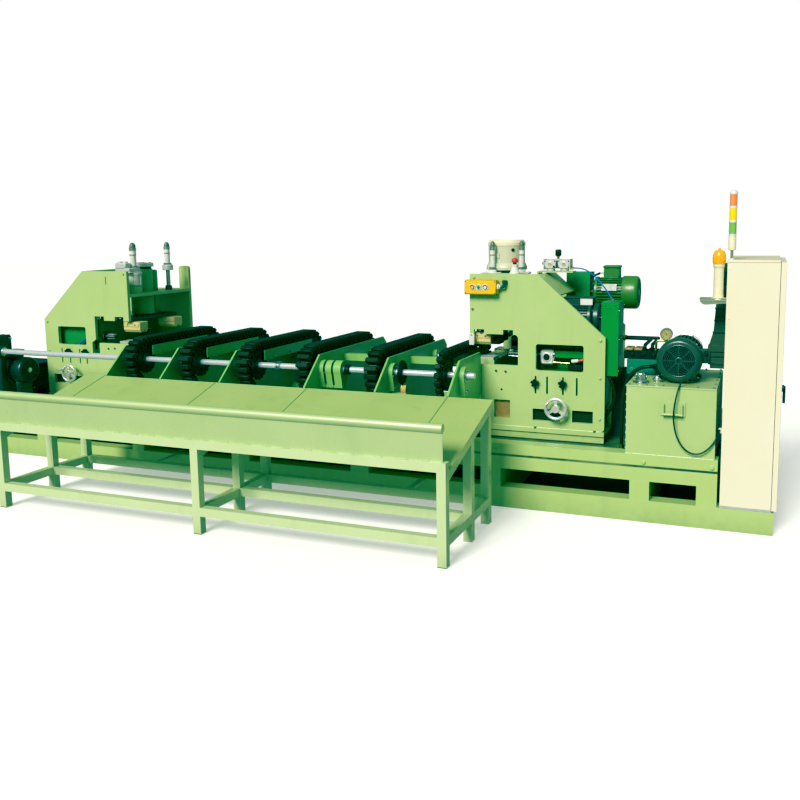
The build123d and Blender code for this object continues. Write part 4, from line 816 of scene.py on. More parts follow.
def head(side):
    right = side == "right"
    sg = 1.0 if right else -1.0
    fixed = "root" if right else "left_head"

    def mx(u):
        return XR + u if right else XL - u

    D = (sg, 0, 0)

    def bx(M, mat, u0, u1, y0, y1, z0, z1, c=1.5):
        M.box(mat, mx(u0), mx(u1), y0, y1, z0, z1, c)

    # ---- spindles: toothed cutter, flange, shaft, slotted lock nut, pulley
    for st, ys in (("front", 550.0), ("rear", 980.0)):
        ue, up, rp = (872, 820, 45) if not right else ((938, 880, 55) if st == "front" else (838, 630, 55))
        M = Mesh()
        o = Vector((mx(228), ys, 880))
        M.lathe(DARKSTEEL, o, D, [(0, 0), (0, 9), (7, 13), (10, 18), (88, 20), (98, 22), (102, 22), (102, 37, STEEL), (105, 40), (113, 40),
                                  (116, 37), (116, 20), (250, 20, CHROME), (252, 20), (252, 31, STEEL), (255, 33), (324, 33), (327, 31), (327, 20),
                                  (ue - 230, 20, CHROME), (ue - 228, 18), (ue - 228, 0)], 40)
        for k in range(6):
            t = 2 * math.pi * k / 6
            a = Vector((0, math.cos(t), math.sin(t)))
            b = Vector(D).cross(a)
            M.obox(STEEL, o + Vector(D) * 48 + a * 19.5, (Vector(D) + a * 0.06).normalized(), b, a, (40, 3.2, 4.2), 1.0)
            M.socket(BLACKOX, o + Vector(D) * 105 + a * 31, -Vector(D), 4.2, 4.0)
            M.obox(DARKSTEEL, o + Vector(D) * 318 + a * 32.0, D, a, b, (8, 2.2, 4.0), 0.5)
        pulley(M, (mx(up), ys, 880), D, rp, 40.0, DARKSTEEL, 19.0)
        M.done(side + "_" + st + "_spindle_parts", side + "_" + st + "_spindle", side + "_" + st + "_spindle", slot="steel")
    # ---- motor pulleys
    for st in ("front", "rear"):
        M = Mesh()
        if right:
            y, z, u0, u1, up, rp = (600, 1125, 760, 935, 880, 55) if st == "front" else (980, 1265, 626, 755, 630, 55)
        else:
            y, z, u0, u1, up, rp = (620, 720, 692, 872, 820, 45) if st == "front" else (1060, 700, 692, 872, 820, 45)
        M.rod(STEEL, (mx(u0), y, z), (mx(u1), y, z), 14, 24, 2)
        pulley(M, (mx(up), y, z), D, rp, 40.0, DARKSTEEL)
        M.done(side + "_" + st + "_motor_pulley_parts", side + "_" + st + "_motor_pulley", side + "_" + st + "_motor_pulley", slot="steel")
    # ---- motors and belts
    M = Mesh()
    if right:
        motor(M, GREEN_DARK, (mx(800), 600, 1125), (-1, 0, 0), 320.0, 100.0, (0, 0, 1), ((0, 0, 1), (0, 0, -1)))
        bx(M, GREEN_DARK, 520, 760, 520, 680, 1020, 1032, 2)
        for u in (535, 715):
            M.prism(GREEN_DARK, [(528, 1030), (672, 1030), (650, 1062), (550, 1062)], "x", mx(u), mx(u + 32), 3)
            for y in (535, 665):
                M.bolt(STEEL, (mx(u + 16), y, 1032), (0, 0, 1), 17, 11)
        bx(M, GREEN_DARK, 604, 791, 554, 646, 1205, 1250, 4)
        bx(M, GREEN_DARK, 600, 795, 550, 650, 1249, 1262, 4)
        for a, b in product((612, 783), (562, 638)):
            M.socket(STEEL, (mx(a), b, 1261), (0, 0, 1), 4.5, 3)
        M.plate((mx(748), 553.6, 1230), (0, -1, 0), (0, 0, 1), 78, 40, WHITEPL)
        # adapter between the motor and the belt guard
        M.lathe(GREEN_DARK, (mx(799), 600, 1125), (1, 0, 0), [(0, 0), (0, 97), (26, 97), (34, 88), (34, 0)], 48)
        bx(M, BRASS, 486, 560, 502, 506, 1148, 1172, 1)
        M.plate((mx(560), 520, 1178), (0, -0.86, 0.5), (0, 0.5, 0.86), 62, 44, ALU)
        motor(M, GREEN_MOTOR, (mx(712), 980, 1265), (1, 0, 0), 308.0, 113.0, (0, 0, 1), ((0, 0, 1), (0, 0, -1)), 34,
              (0, -0.94, 0.34))
        bx(M, GREEN_MOTOR, 735, 830, 915, 1045, 1150, 1162, 2)
        for u in (740, 795):
            M.prism(GREEN_MOTOR, [(920, 1160), (1040, 1160), (1025, 1192), (935, 1192)], "x", mx(u), mx(u + 30), 3)
        bx(M, GREEN_MOTOR, 787, 892, 936, 1024, 1355, 1430, 5)
        bx(M, GREEN_MOTOR, 782, 897, 930, 1030, 1428, 1447, 7)
        for a, b in product((794, 885), (942, 1018)):
            M.socket(STEEL, (mx(a), b, 1446), (0, 0, 1), 4.5, 1.0)
        M.lathe(WHITEPL, (mx(788), 955, 1398), (-1, 0, 0), [(0, 0), (0, 13), (10, 13), (10, 10), (24, 10), (26, 7), (26, 0)], 6)
        M.rod(BLACKOX, (mx(764), 955, 1396), (mx(699), 955, 1368), 7.5, 16)
        M.lathe(BLACKPL, (mx(704), 955, 1369), (-1, 0, 0), [(0, 0), (0, 13), (3, 13), (4, 0)], 20)
        belts = [(884.5, 600, 1125, 550, 880, 44.0), (634.5, 980, 1265, 980, 880, 44.0)]
    else:
        for y, z, R in ((620, 720, 80.0), (1060, 700, 95.0)):
            motor(M, GREEN_MOTOR, (mx(735), y, z), (1, 0, 0), 335.0, R, (0, 0, 1), ((0, 0, -1),))
            for u in (420, 620):
                M.prism(GREEN_MOTOR, [(y - 50, 505), (y + 50, 505), (y + 42, z - 40), (y - 42, z - 40)], "x", mx(u), mx(u + 90), 3)
                for s in (-1, 1):
                    M.bolt(STEEL, (mx(u + 45), y + s * 42, 512), (0, 0, 1), 13, 9)
        belts = [(824.5, 620, 720, 550, 880, 34.0), (824.5, 1060, 700, 980, 880, 34.0)]
    for u, ya, za, yb, zb, r in belts:
        for k in (6.7, 24.3):
            M.band(RUBBER, mx(u + k - 5.2), mx(u + k + 5.2), [(ya, za, r + 5), (yb, zb, r + 5)], 8.0)
    M.done(side + "_motor_set", side + "_saddle", side + "_motors", slot="dark_green")

    # ---- clamp: bridge, rods, notched jaws
    M = Mesh()
    zb0, zb1, zj = (1022, 1055, 940) if right else (1012, 1040, 930)
    bx(M, DARKSTEEL, 30, 235, 480, 1070, zb0, zb1, 4)
    for y, r, zt in ((790, 30, 1270), (930, 18, 1290)):
        M.lathe(CHROME, (mx(150), y, zb1 - 2), (0, 0, 1), [(0, 0), (0, r + 9, STEEL), (9, r + 9), (11, r + 6), (11, r, CHROME), (zt - zb1, r),
                                                          (zt - zb1 + 2, r - 2), (zt - zb1 + 2, 0)], 32)
    u0, u1, jaws = (5, 130, ((476, 636), (900, 1060))) if right else (-70, 90, ((476, 572), (900, 1006)))
    for y0, y1 in jaws:
        ym = (y0 + y1) / 2
        z1 = zb0 - 0.2
        # stepped block with a V in its underside and two screws in front
        M.prism(JAW, [(y0, zj + 20), (y0, z1), (y1, z1), (y1, zj + 20), (y1 - 18, zj), (ym + 20, zj), (ym, zj + 18), (ym - 20, zj),
                      (y0 + 18, zj)], "x", mx(u0), mx(u1), 3)
        bx(M, JAW, u0 + 8, u1 - 8, y0 - 5, y0 + 4, zj + 44, z1 - 8, 2)
        for f in (0.28, 0.72):
            M.socket(STEEL, (mx(u0 + f * (u1 - u0)), y0 - 4, zj + 58), (0, -1, 0), 6.5, 3.5)
        for f in (0.3, 0.75):
            M.bolt(DARKSTEEL, (mx(u0 + f * (u1 - u0)) if right else mx(50 + 20 * f), ym, zb1), (0, 0, 1), 15, 10)
    if right:
        bx(M, BLACKOX, 150, 215, 508, 612, 962, 1024, 5)
        bx(M, BLACKOX, 118, 185, 508, 612, 940, 968, 5)
    M.done(side + "_clamp_parts", side + "_clamp", side + "_clamp", slot="steel")

    # ---- clamp cylinder, guide column, sight tubes
    M = Mesh()
    zc = 1075 if right else 1046

    def col(mat, u, y, prof, n=40):
        M.lathe(mat, (mx(u), y, 0), (0, 0, 1), prof, n)

    def sight(u, y, z0, z1, r, glass):
        """Upright sight tube: nut, clear tube with a pale band, brass line, domed cap."""
        col(STEEL, u, y, [(z0, 0), (z0, r * 1.5), (z0 + 14, r * 1.5), (z0 + 17, r * 1.3), (z0 + 17, 0)], 6)
        h = z1 - z0
        col(glass, u, y, [(z0 + 15, 0), (z0 + 15, r), (z0 + 0.50 * h, r), (z0 + 0.50 * h, r * 1.16, BRASS), (z0 + 0.53 * h, r * 1.16),
                          (z0 + 0.53 * h, r * 1.05, WHITEPL), (z0 + 0.68 * h, r * 1.05), (z0 + 0.68 * h, r * 1.14, STEEL), (z0 + 0.80 * h, r * 1.14),
                          (z0 + 0.81 * h, r * 1.02, DOME), (z0 + 0.90 * h, r * 0.96), (z0 + 0.96 * h, r * 0.72), (z0 + 0.99 * h, r * 0.38), (z1, 0)], 24)

    if right:
        # cylinder in the darker copy of the green: painted shade inside the head
        col(GREEN_SHADE, 150, 790, [(zc, 0), (zc, 84), (zc + 4, 90), (1426, 90), (1426, 0)])
        col(DRUM, 150, 790, [(1424, 0), (1424, 138), (1440, 140), (1446, 138), (1468, 128), (1472, 124), (1586, 124), (1588, 127, IVORY), (1608, 127),
                             (1612, 122), (1625, 116), (1625, 90), (1620, 86, DRUM), (1620, 0)], 64)
        for k in range(8):
            t = 2 * math.pi * (k + 0.5) / 8
            M.socket(DARKSTEEL, (mx(150) + 104 * math.cos(t), 790 + 104 * math.sin(t), 1617), (0, 0, 1), 7, 6)
        M.lathe(BLACKPL, (mx(150) + 70, 790 - 101, 1560), (0.57, -0.82, 0), [(-4, 0), (-4, 11), (8, 11), (10, 8), (10, 0)], 18)
        M.plate((mx(150) - 40, 790 - 119, 1520), (-0.32, -0.95, 0), (0, 0, 1), 54, 34, DRUM)
        # guide column in the darker copy of the green: painted shade
        col(GREEN_SHADE, 150, 930, [(zc, 0), (zc, 36), (zc + 3, 38), (1390, 38), (1400, 32), (1400, 0)])
        for u, y in ((95, 640), (285, 680)):
            col(ALU, u, y, [(1228, 0), (1228, 30), (1290, 30), (1300, 24), (1300, 20), (1402, 20), (1402, 0)], 32)
            bx(M, WHITEPL, u - 66, u + 58, y - 44, y + 40, 1400, 1412, 4)
            col(WHITEPL, u, y, [(1411, 0), (1411, 27), (1424, 27), (1432, 20), (1432, 0)], 32)
            for a, b in product((-52, 46), (-32, 28)):
                M.socket(STEEL, (mx(u + a), y + b, 1411), (0, 0, 1), 5, 4)
            sight(u, y, 1430, 1620, 17.0, GLASSY)
    else:
        col(GREEN_PLATE, 150, 790, [(zc, 0), (zc, 84), (zc + 4, 90), (1412, 90), (1416, 82, BLACKOX), (1431, 82), (1431, 97, ALU), (1434, 100), (1456, 100),
                                 (1462, 94), (1462, 0)], 64)
        for k in range(8):
            t = 2 * math.pi * (k + 0.5) / 8
            M.socket(DARKSTEEL, (mx(150) + 80 * math.cos(t), 790 + 80 * math.sin(t), 1461), (0, 0, 1), 6.5, 5)
        M.lathe(STEEL, (mx(150), 790, 1461), (0, 0, 1), [(0, 0), (0, 22), (4, 22), (6, 18), (6, 0)], 6)
        col(GREEN_PLATE, 150, 930, [(zc, 0), (zc, 36), (zc + 3, 38), (1390, 38), (1400, 32), (1400, 0)])
        # front unit: stand, clear bowl in a cage, valve body and its block
        col(GREEN, 85, 625, [(1229, 0), (1229, 58), (1276, 58), (1285, 52), (1285, 0)], 40)
        col(GLASSY, 85, 625, [(1284, 0), (1284, 48), (1292, 60), (1368, 60), (1376, 64, WHITEPL), (1390, 64), (1390, 0)], 40)
        for k in range(6):
            t = 2 * math.pi * k / 6
            M.rod(ALU, (mx(85) + 61 * math.cos(t), 625 + 61 * math.sin(t), 1282), (mx(85) + 61 * math.cos(t), 625 + 61 * math.sin(t), 1378), 3.2, 10)
        bx(M, WHITEPL, 46, 192, 528, 667, 1389, 1402, 3)
        bx(M, ALU, 50, 190, 530, 665, 1401, 1430, 5)
        bx(M, ALU, 80, 185, 525, 590, 1428, 1470, 5)
        for u in (106, 158):
            col(ALU, u, 557, [(1468, 0), (1468, 22), (1478, 21), (1482, 17), (1482, 0)], 28)
        for u in (60, 180):
            for y in (541, 654):
                M.socket(STEEL, (mx(u), y, 1429), (0, 0, 1), 5, 5)
        M.lathe(BRASS, (mx(186), 557, 1448), D, [(0, 0), (0, 11), (8, 11), (8, 8), (16, 8), (17, 0)], 6)
        sight(85, 625, 1429, 1629, 24.0, GLASSY)
        # rear unit
        col(GREEN_DARK, 55, 1010, [(1229, 0), (1229, 28), (1262, 28), (1268, 20), (1268, 0)], 32)
        col(STEEL, 55, 1010, [(1266, 0), (1266, 17), (1396, 17), (1396, 0)], 28)
        col(ALU, 55, 1010, [(1394, 0), (1394, 40), (1398, 44), (1434, 44), (1440, 38), (1440, 0)], 40)
        sight(55, 1010, 1438, 1627, 22.0, GLASSY)
    M.done(side + "_clamp_cylinder_parts", fixed, side + "_clamp_cylinder", slot="air_unit")

    # ---- fixings and small fittings on the head plates
    M = Mesh()
    hw = 893 if right else 857
    ue = hw - 30
    for u, z in ((30, 1390), (ue, 999), (ue, 760), (ue, 495)):
        M.bolt(GREEN, (mx(u), 435, z), (0, -1, 0), 15, 10)
    for u, z in (((181, 776), (246, 774), (20, 1180)) if right else ((215, 799), (152, 802))):
        M.socket(STEEL, (mx(u), 435, z), (0, -1, 0), 8, 7)
    for u in ((64, 262) if right else (96, 291)):
        # bolts hung in the T notches over the cut-out
        M.bolt(DARKSTEEL, (mx(u), 463, 1038), (0, -1, 0), 24, 16)
        M.lathe(STEEL, (mx(u), 447, 1038), (0, -1, 0), [(-3, 0), (-3, 6), (2, 6), (3, 4), (3, 0)], 14)
    for y in (550.0, 980.0):
        # grooved steel rest on each pad
        pts = [(y - 63, 846), (y + 63, 846), (y + 63, 854), (y + 17, 855), (y, 852.6), (y - 17, 855), (y - 63, 854)]
        M.prism(ALU if y < 600 else STEEL, pts, "x", mx(19), mx(146), 1.0)
        for u, dy in product((34, 131), (-46, 46)):
            M.socket(BLACKOX, (mx(u), y + dy, 853.5), (0, 0, 1), 6, 1.6)
    # near-black sheets behind the two lower slots: painted shade in the openings
    for a, b, c, d in (((424, 614, 450, 536), (683, 825, 450, 548)) if right else ((416, 594, 480, 568), (672, 795, 490, 578))):
        bx(M, SHADE_BLACK, a, b, 464, 468, c, d, 1)
    # weld runs: plates to bottom plate, pedestal foot, cover to front plate
    M.bead((mx(4), 434, 413), (mx(hw - 30), 434, 413), GREEN, 3.5)
    M.bead((mx(4), 1241, 413), (mx(hw - 6), 1241, 413), GREEN, 3.5)
    M.bead((mx(16), 488, 413), (mx(16), 1194, 413), GREEN, 3.5)
    htop = 458 if right else 438
    for k in range(7):
        u = 60 + (hw - 120) * k / 6
        M.bolt(STEEL, (mx(u), 429, 412), (0, 0, 1), 15, 10) if k in (0, 3, 6) else None
    for y in (560, 700, 840):
        M.socket(STEEL, (mx(htop + 16), y, 1394), (sg * 0.67, 0, 0.74), 6, 5)
    if right:
        # clear chip flap hung on the front plate beside the jaw
        bx(M, GLASSY, -4, 32, 426, 435.5, 941, 1016, 2)
        M.socket(STEEL, (mx(14), 426, 1008), (0, -1, 0), 4.5, 3)
        # bronze chip chute behind the lower opening
        bx(M, BRONZE, 150, 292, 463.5, 468, 446, 604, 1)
        M.prism(BRONZE, [(468, 560), (480, 560), (486, 470), (468, 462)], "x", mx(160), mx(285), 1.5)
        # formed pipe from under the belt guard to the bottom plate
        M.sweep(BLACKPL, [(-1008, 505, 774), (-1000, 503, 764), (-982, 500, 741), (-964, 500, 695), (-957, 500, 640), (-967, 500, 586),
                          (-992, 500, 540), (-1012, 500, 500), (-1018, 500, 455), (-1018, 500, 411)], 11, 14, sub=5)
        M.lathe(STEEL, (-1018, 500, 411), (0, 0, 1), [(0, 0), (0, 19), (14, 19), (16, 16), (16, 0)], 6)
        # rim of the bulkhead and hose nuts
        for y in (740.0, 786.0):
            M.lathe(BRASS, (mx(893), y, 983), (1, 0, 0), [(-1, 11.2), (-1, 21), (16, 21), (18, 18), (18, 11.2)], 6, closed=True)
            M.lathe(STEEL, (mx(911), y, 983), (1, 0, 0), [(-1, 11.2), (-1, 17), (12, 17), (14, 14), (14, 11.2)], 24, closed=True)
    else:
        # blue air pipe across the window, on two clips
        pipe = [(mx(600), 474, 808), (mx(560), 474, 812), (mx(523), 474, 832), (mx(483), 474, 858), (mx(446), 474, 878), (mx(420), 474, 884),
                (mx(404), 474, 885)]
        M.sweep(BLUEPL, pipe, 6.5, 12, sub=6)
        for u, z in ((590, 809), (408, 885)):
            bx(M, BLACKPL, u - 8, u + 8, 463, 484, z - 10, z + 10, 2)
    M.done(side + "_head_fixings", fixed, slot="steel")
    if right:
        M = Mesh()
        # splash panel behind the window, screwed between the saddle's end plates
        bx(M, GREEN_DEEP, 376, 799, 600, 606, 640, 998, 1.5)
        bx(M, GREEN_DEEP, 376, 799, 596, 602, 986, 998, 1.5)
        for u, z in product((392, 588, 783), (660, 992)):
            M.socket(STEEL, (mx(u), 600 if z < 900 else 596, z), (0, -1, 0), 5, 4)
        # bearing block with a round port, brass pipe, valve on its foot
        bx(M, WHITEPL, 456, 546, 514, 600, 818, 918, 12)
        M.lathe(ALU, (mx(500), 514.5, 868), (0, -1, 0), [(-1, 22), (-1, 31), (4, 31), (5, 29), (5, 22)], 32, closed=True)
        M.lathe(BLACKPL, (mx(500), 514.5, 868), (0, -1, 0), [(0, 0), (0, 23), (1.5, 23), (1.5, 0)], 32)
        M.rod(BRASS, (mx(540), 522, 834), (mx(652), 522, 831), 9, 18)
        bx(M, BLACKPL, 642, 740, 512, 601, 786, 826, 4)
        M.rod(WHITEPL, (mx(664), 520, 846), (mx(706), 520, 852), 12, 18)
        M.rod(REDPL, (mx(704), 520, 852), (mx(738), 520, 856), 11, 18)
        bx(M, BLACKPL, 676, 694, 512, 528, 822, 846, 2)
        # bent guard in front of the shaft, on the panel
        bx(M, GREEN_DEEP, 556, 798, 520, 523, 868, 912, 1)
        bx(M, GREEN_DEEP, 556, 798, 520, 601, 909, 912, 1)
        # dark hood over the cutter, on the inner end plate
        bx(M, BLACKOX, 262, 345.5, 507, 597, 930, 998, 6)
        bx(M, BLACKOX, 262, 345.5, 507, 515, 906, 975, 3)
        bx(M, BLACKOX, 262, 345.5, 589, 597, 906, 975, 3)
        M.done("right_splash_panel", "right_saddle", slot="bright_green")

    # ---- belt guard: lid rim, screws, louvres
    M = Mesh()
    if right:
        M.box(GREEN_DEEP, mx(856), mx(967), 476, 684, 1196, 1203, 2)
        for y in (500, 660):
            for z in (800, 1000, 1180):
                M.socket(STEEL, (mx(965), y, z), (1, 0, 0), 6, 5)
        for k in range(7):
            M.prism(GREEN_DEEP, [(mx(965), 900 + 16 * k), (mx(970), 902 + 16 * k), (mx(965), 911 + 16 * k)], "y", 520, 640, 0.6)
        for u in (880, 945):
            M.socket(STEEL, (mx(u), 478, 1216), (0, -1, 0), 5, 4)
        M.lathe(BRASS, (-1000, 590, 1250), Vector((30, -17, -43)), [(-2, 0), (-2, 8.5), (9, 8.5), (9, 10, STEEL), (20, 10), (22, 8), (22, 0)], 6)
    else:
        for y in (520, 700, 900, 1090):
            for z in (660, 920):
                M.socket(STEEL, (mx(900), y, z), D, 6, 5)
        for k in range(8):
            M.prism(GREEN_DEEP, [(mx(900), 720 + 16 * k), (mx(905), 722 + 16 * k), (mx(900), 731 + 16 * k)], "y", 620, 1000, 0.6)
    M.done(side + "_guard_fixings", fixed, slot="bright_green")


head("right")
head("left")


# ------------------------------------------------------------------ push buttons, stop button, air unit
def controls():
    M = Mesh()
    # box in two halves with a rounded front, hoods over the buttons
    M.box(YELLOWPL, -1922, -1702, 392, 435, 1278, 1374, 7)
    M.box(YELLOWPL, -1920, -1704, 373, 394, 1280, 1372, 7)
    M.box(BLACKPL, -1921, -1703, 391, 394.5, 1279, 1373, 2)
    for x, y in product((-1911, -1713), (1289, 1363)):
        M.socket(STEEL, (x, 373.5, y), (0, -1, 0), 4.5, 1.5)
    bx = (-1863.0, -1819.0, -1775.0)
    for x in bx:
        M.lathe(WHITEPL, (x, 374, 1327), (0, -1, 0), [(-1, 14.6), (-1, 21), (3, 21), (5, 19), (5, 14.6)], 32, closed=True)
        # half hood over the top of the button
        pts = [(x + r * math.cos(t), 1327 + r * math.sin(t)) for r, seq in ((20.5, range(0, 11)), (16.5, range(10, -1, -1)))
               for t in [math.radians(20 + 14 * k) for k in seq]]
        M.prism(WHITEPL, pts, "y", 361, 374, 1.0)
    M.lathe(WHITEPL, (-1702, 404, 1330), (1, 0, 0), [(-1, 0), (-1, 19), (10, 19), (12, 16), (12, 12), (20, 12), (20, 0)], 6)
    M.sweep(GREEN_DARK, [(-1684, 404, 1330), (-1672, 404, 1330), (-1663, 404, 1334), (-1660, 404, 1345), (-1660, 404, 1360), (-1660, 404, 1371)],
            10.5, 14, sub=4)
    M.lathe(GREEN_DARK, (-1660, 404, 1352), (0, 0, 1), [(0, 0), (0, 13), (16, 13), (19, 11), (19, 0)], 6)
    M.box(GREEN_DARK, -1676, -1644, 410, 436, 1352, 1372, 3)
    # stop button base: wide foot, cone, collar
    M.lathe(WHITEPL, (-1618, 512, 1410), (0, 0, 1), [(0, 12.6), (0, 34), (7, 34), (10, 31), (26, 24), (40, 20), (50, 20), (52, 23), (60, 23), (60, 12.6)],
            36, closed=True)
    M.done("push_button_box", "root", "button_box", slot="yellow_plastic")
    for nm, x, m, r in (("yellow_button", bx[0], YELLOWPL, BLACKPL), ("green_button", bx[1], GREENPL, WHITEPL), ("white_button", bx[2], WHITEPL, BLACKPL)):
        M = Mesh()
        M.lathe(BLACKPL, (x, 410, 1327), (0, -1, 0), [(0, 0), (0, 13.8), (36, 13.8), (36, 13.6, r), (44, 13.6), (46, 11.5), (46, 10.5, m), (47.5, 9.5), (48, 0)], 32)
        M.done(nm + "_cap", nm, nm, slot="yellow_plastic" if nm[0] == "y" else ("green_plastic" if nm[0] == "g" else "white_plastic"))
    M = Mesh()
    M.lathe(BLACKPL, (-1618, 512, 1436), (0, 0, 1), [(0, 0), (0, 12), (46, 12), (46, 17, REDPL), (49, 20.5), (58, 21), (66, 19.5), (72, 15.5), (76, 9), (78, 0)], 36)
    M.done("stop_button_head", "emergency_stop_button", "emergency_stop_button", slot="red_plastic")
    # air service unit: cast body, end plates, bowls, ports, knob on a brass stem
    ax = XR + 439
    M = Mesh()
    M.box(ALU, ax + 6, ax + 84, 655, 730, 1436, 1496, 6)
    M.box(ALU, ax + 96, ax + 174, 655, 730, 1436, 1496, 6)
    M.box(DARKSTEEL, ax + 82, ax + 98, 660, 725, 1440, 1490, 2)
    M.box(ALU, ax, ax + 8, 652, 733, 1430, 1500, 2)
    M.box(ALU, ax + 172, ax + 180, 652, 733, 1430, 1500, 2)
    for u in (44, 136):
        M.lathe(GLASSY, (ax + u, 692, 1420), (0, 0, 1), [(0, 0), (0, 24), (4, 28), (16, 28), (16, 30, ALU), (20, 30), (20, 0)], 32)
        M.lathe(ALU, (ax + u, 655.5, 1468), (0, -1, 0), [(-1, 0), (-1, 15), (3, 15), (4, 13), (4, 11), (3, 10.5, DIAL), (3, 0)], 28)
        for a, b in product((-32, 32), (1446, 1486)):
            M.socket(BLACKOX, (ax + u + a, 655.5, b), (0, -1, 0), 3.8, 3)
    M.box(BLACKPL, ax + 64, ax + 76, 650, 657, 1444, 1456, 1)
    M.lathe(ALU, (ax + 92, 692, 1488), (0, 0, 1), [(0, 8.4), (0, 24), (10, 24), (12, 21), (12, 8.4)], 32, closed=True)
    M.lathe(BRASS, (ax + 180, 692, 1440), (1, 0, 0), [(-1, 0), (-1, 12), (7, 12), (7, 9), (18, 9), (18, 4.6), (18, 0)], 6)
    M.lathe(BRASS, (ax, 692, 1470), (-1, 0, 0), [(-1, 0), (-1, 13), (8, 13), (10, 10), (14, 10), (14, 0)], 6)
    M.done("air_service_unit", "root", "air_unit", slot="air_unit")
    M = Mesh()
    M.lathe(BRASS, (ax + 92, 692, 1462), (0, 0, 1), [(0, 0), (0, 8), (50, 8), (50, 12), (58, 12), (58, 0)], 24)
    M.lathe(BLACKPL, (ax + 92, 692, 1519), (0, 0, 1), [(0, 0), (0, 17.5), (3, 19), (37, 18.2), (41, 16), (43, 11), (43, 0)], 48)
    for k in range(18):
        t = 2 * math.pi * k / 18
        a = Vector((math.cos(t), math.sin(t), 0))
        M.obox(BLACKPL, Vector((ax + 92, 692, 1539)) + a * 18.4, (0, 0, 1), a, a.cross(Vector((0, 0, 1))), (16, 1.5, 1.7), 0.6)
    M.done("regulator_knob_parts", "regulator_knob", "regulator_knob", slot="black_plastic")


controls()


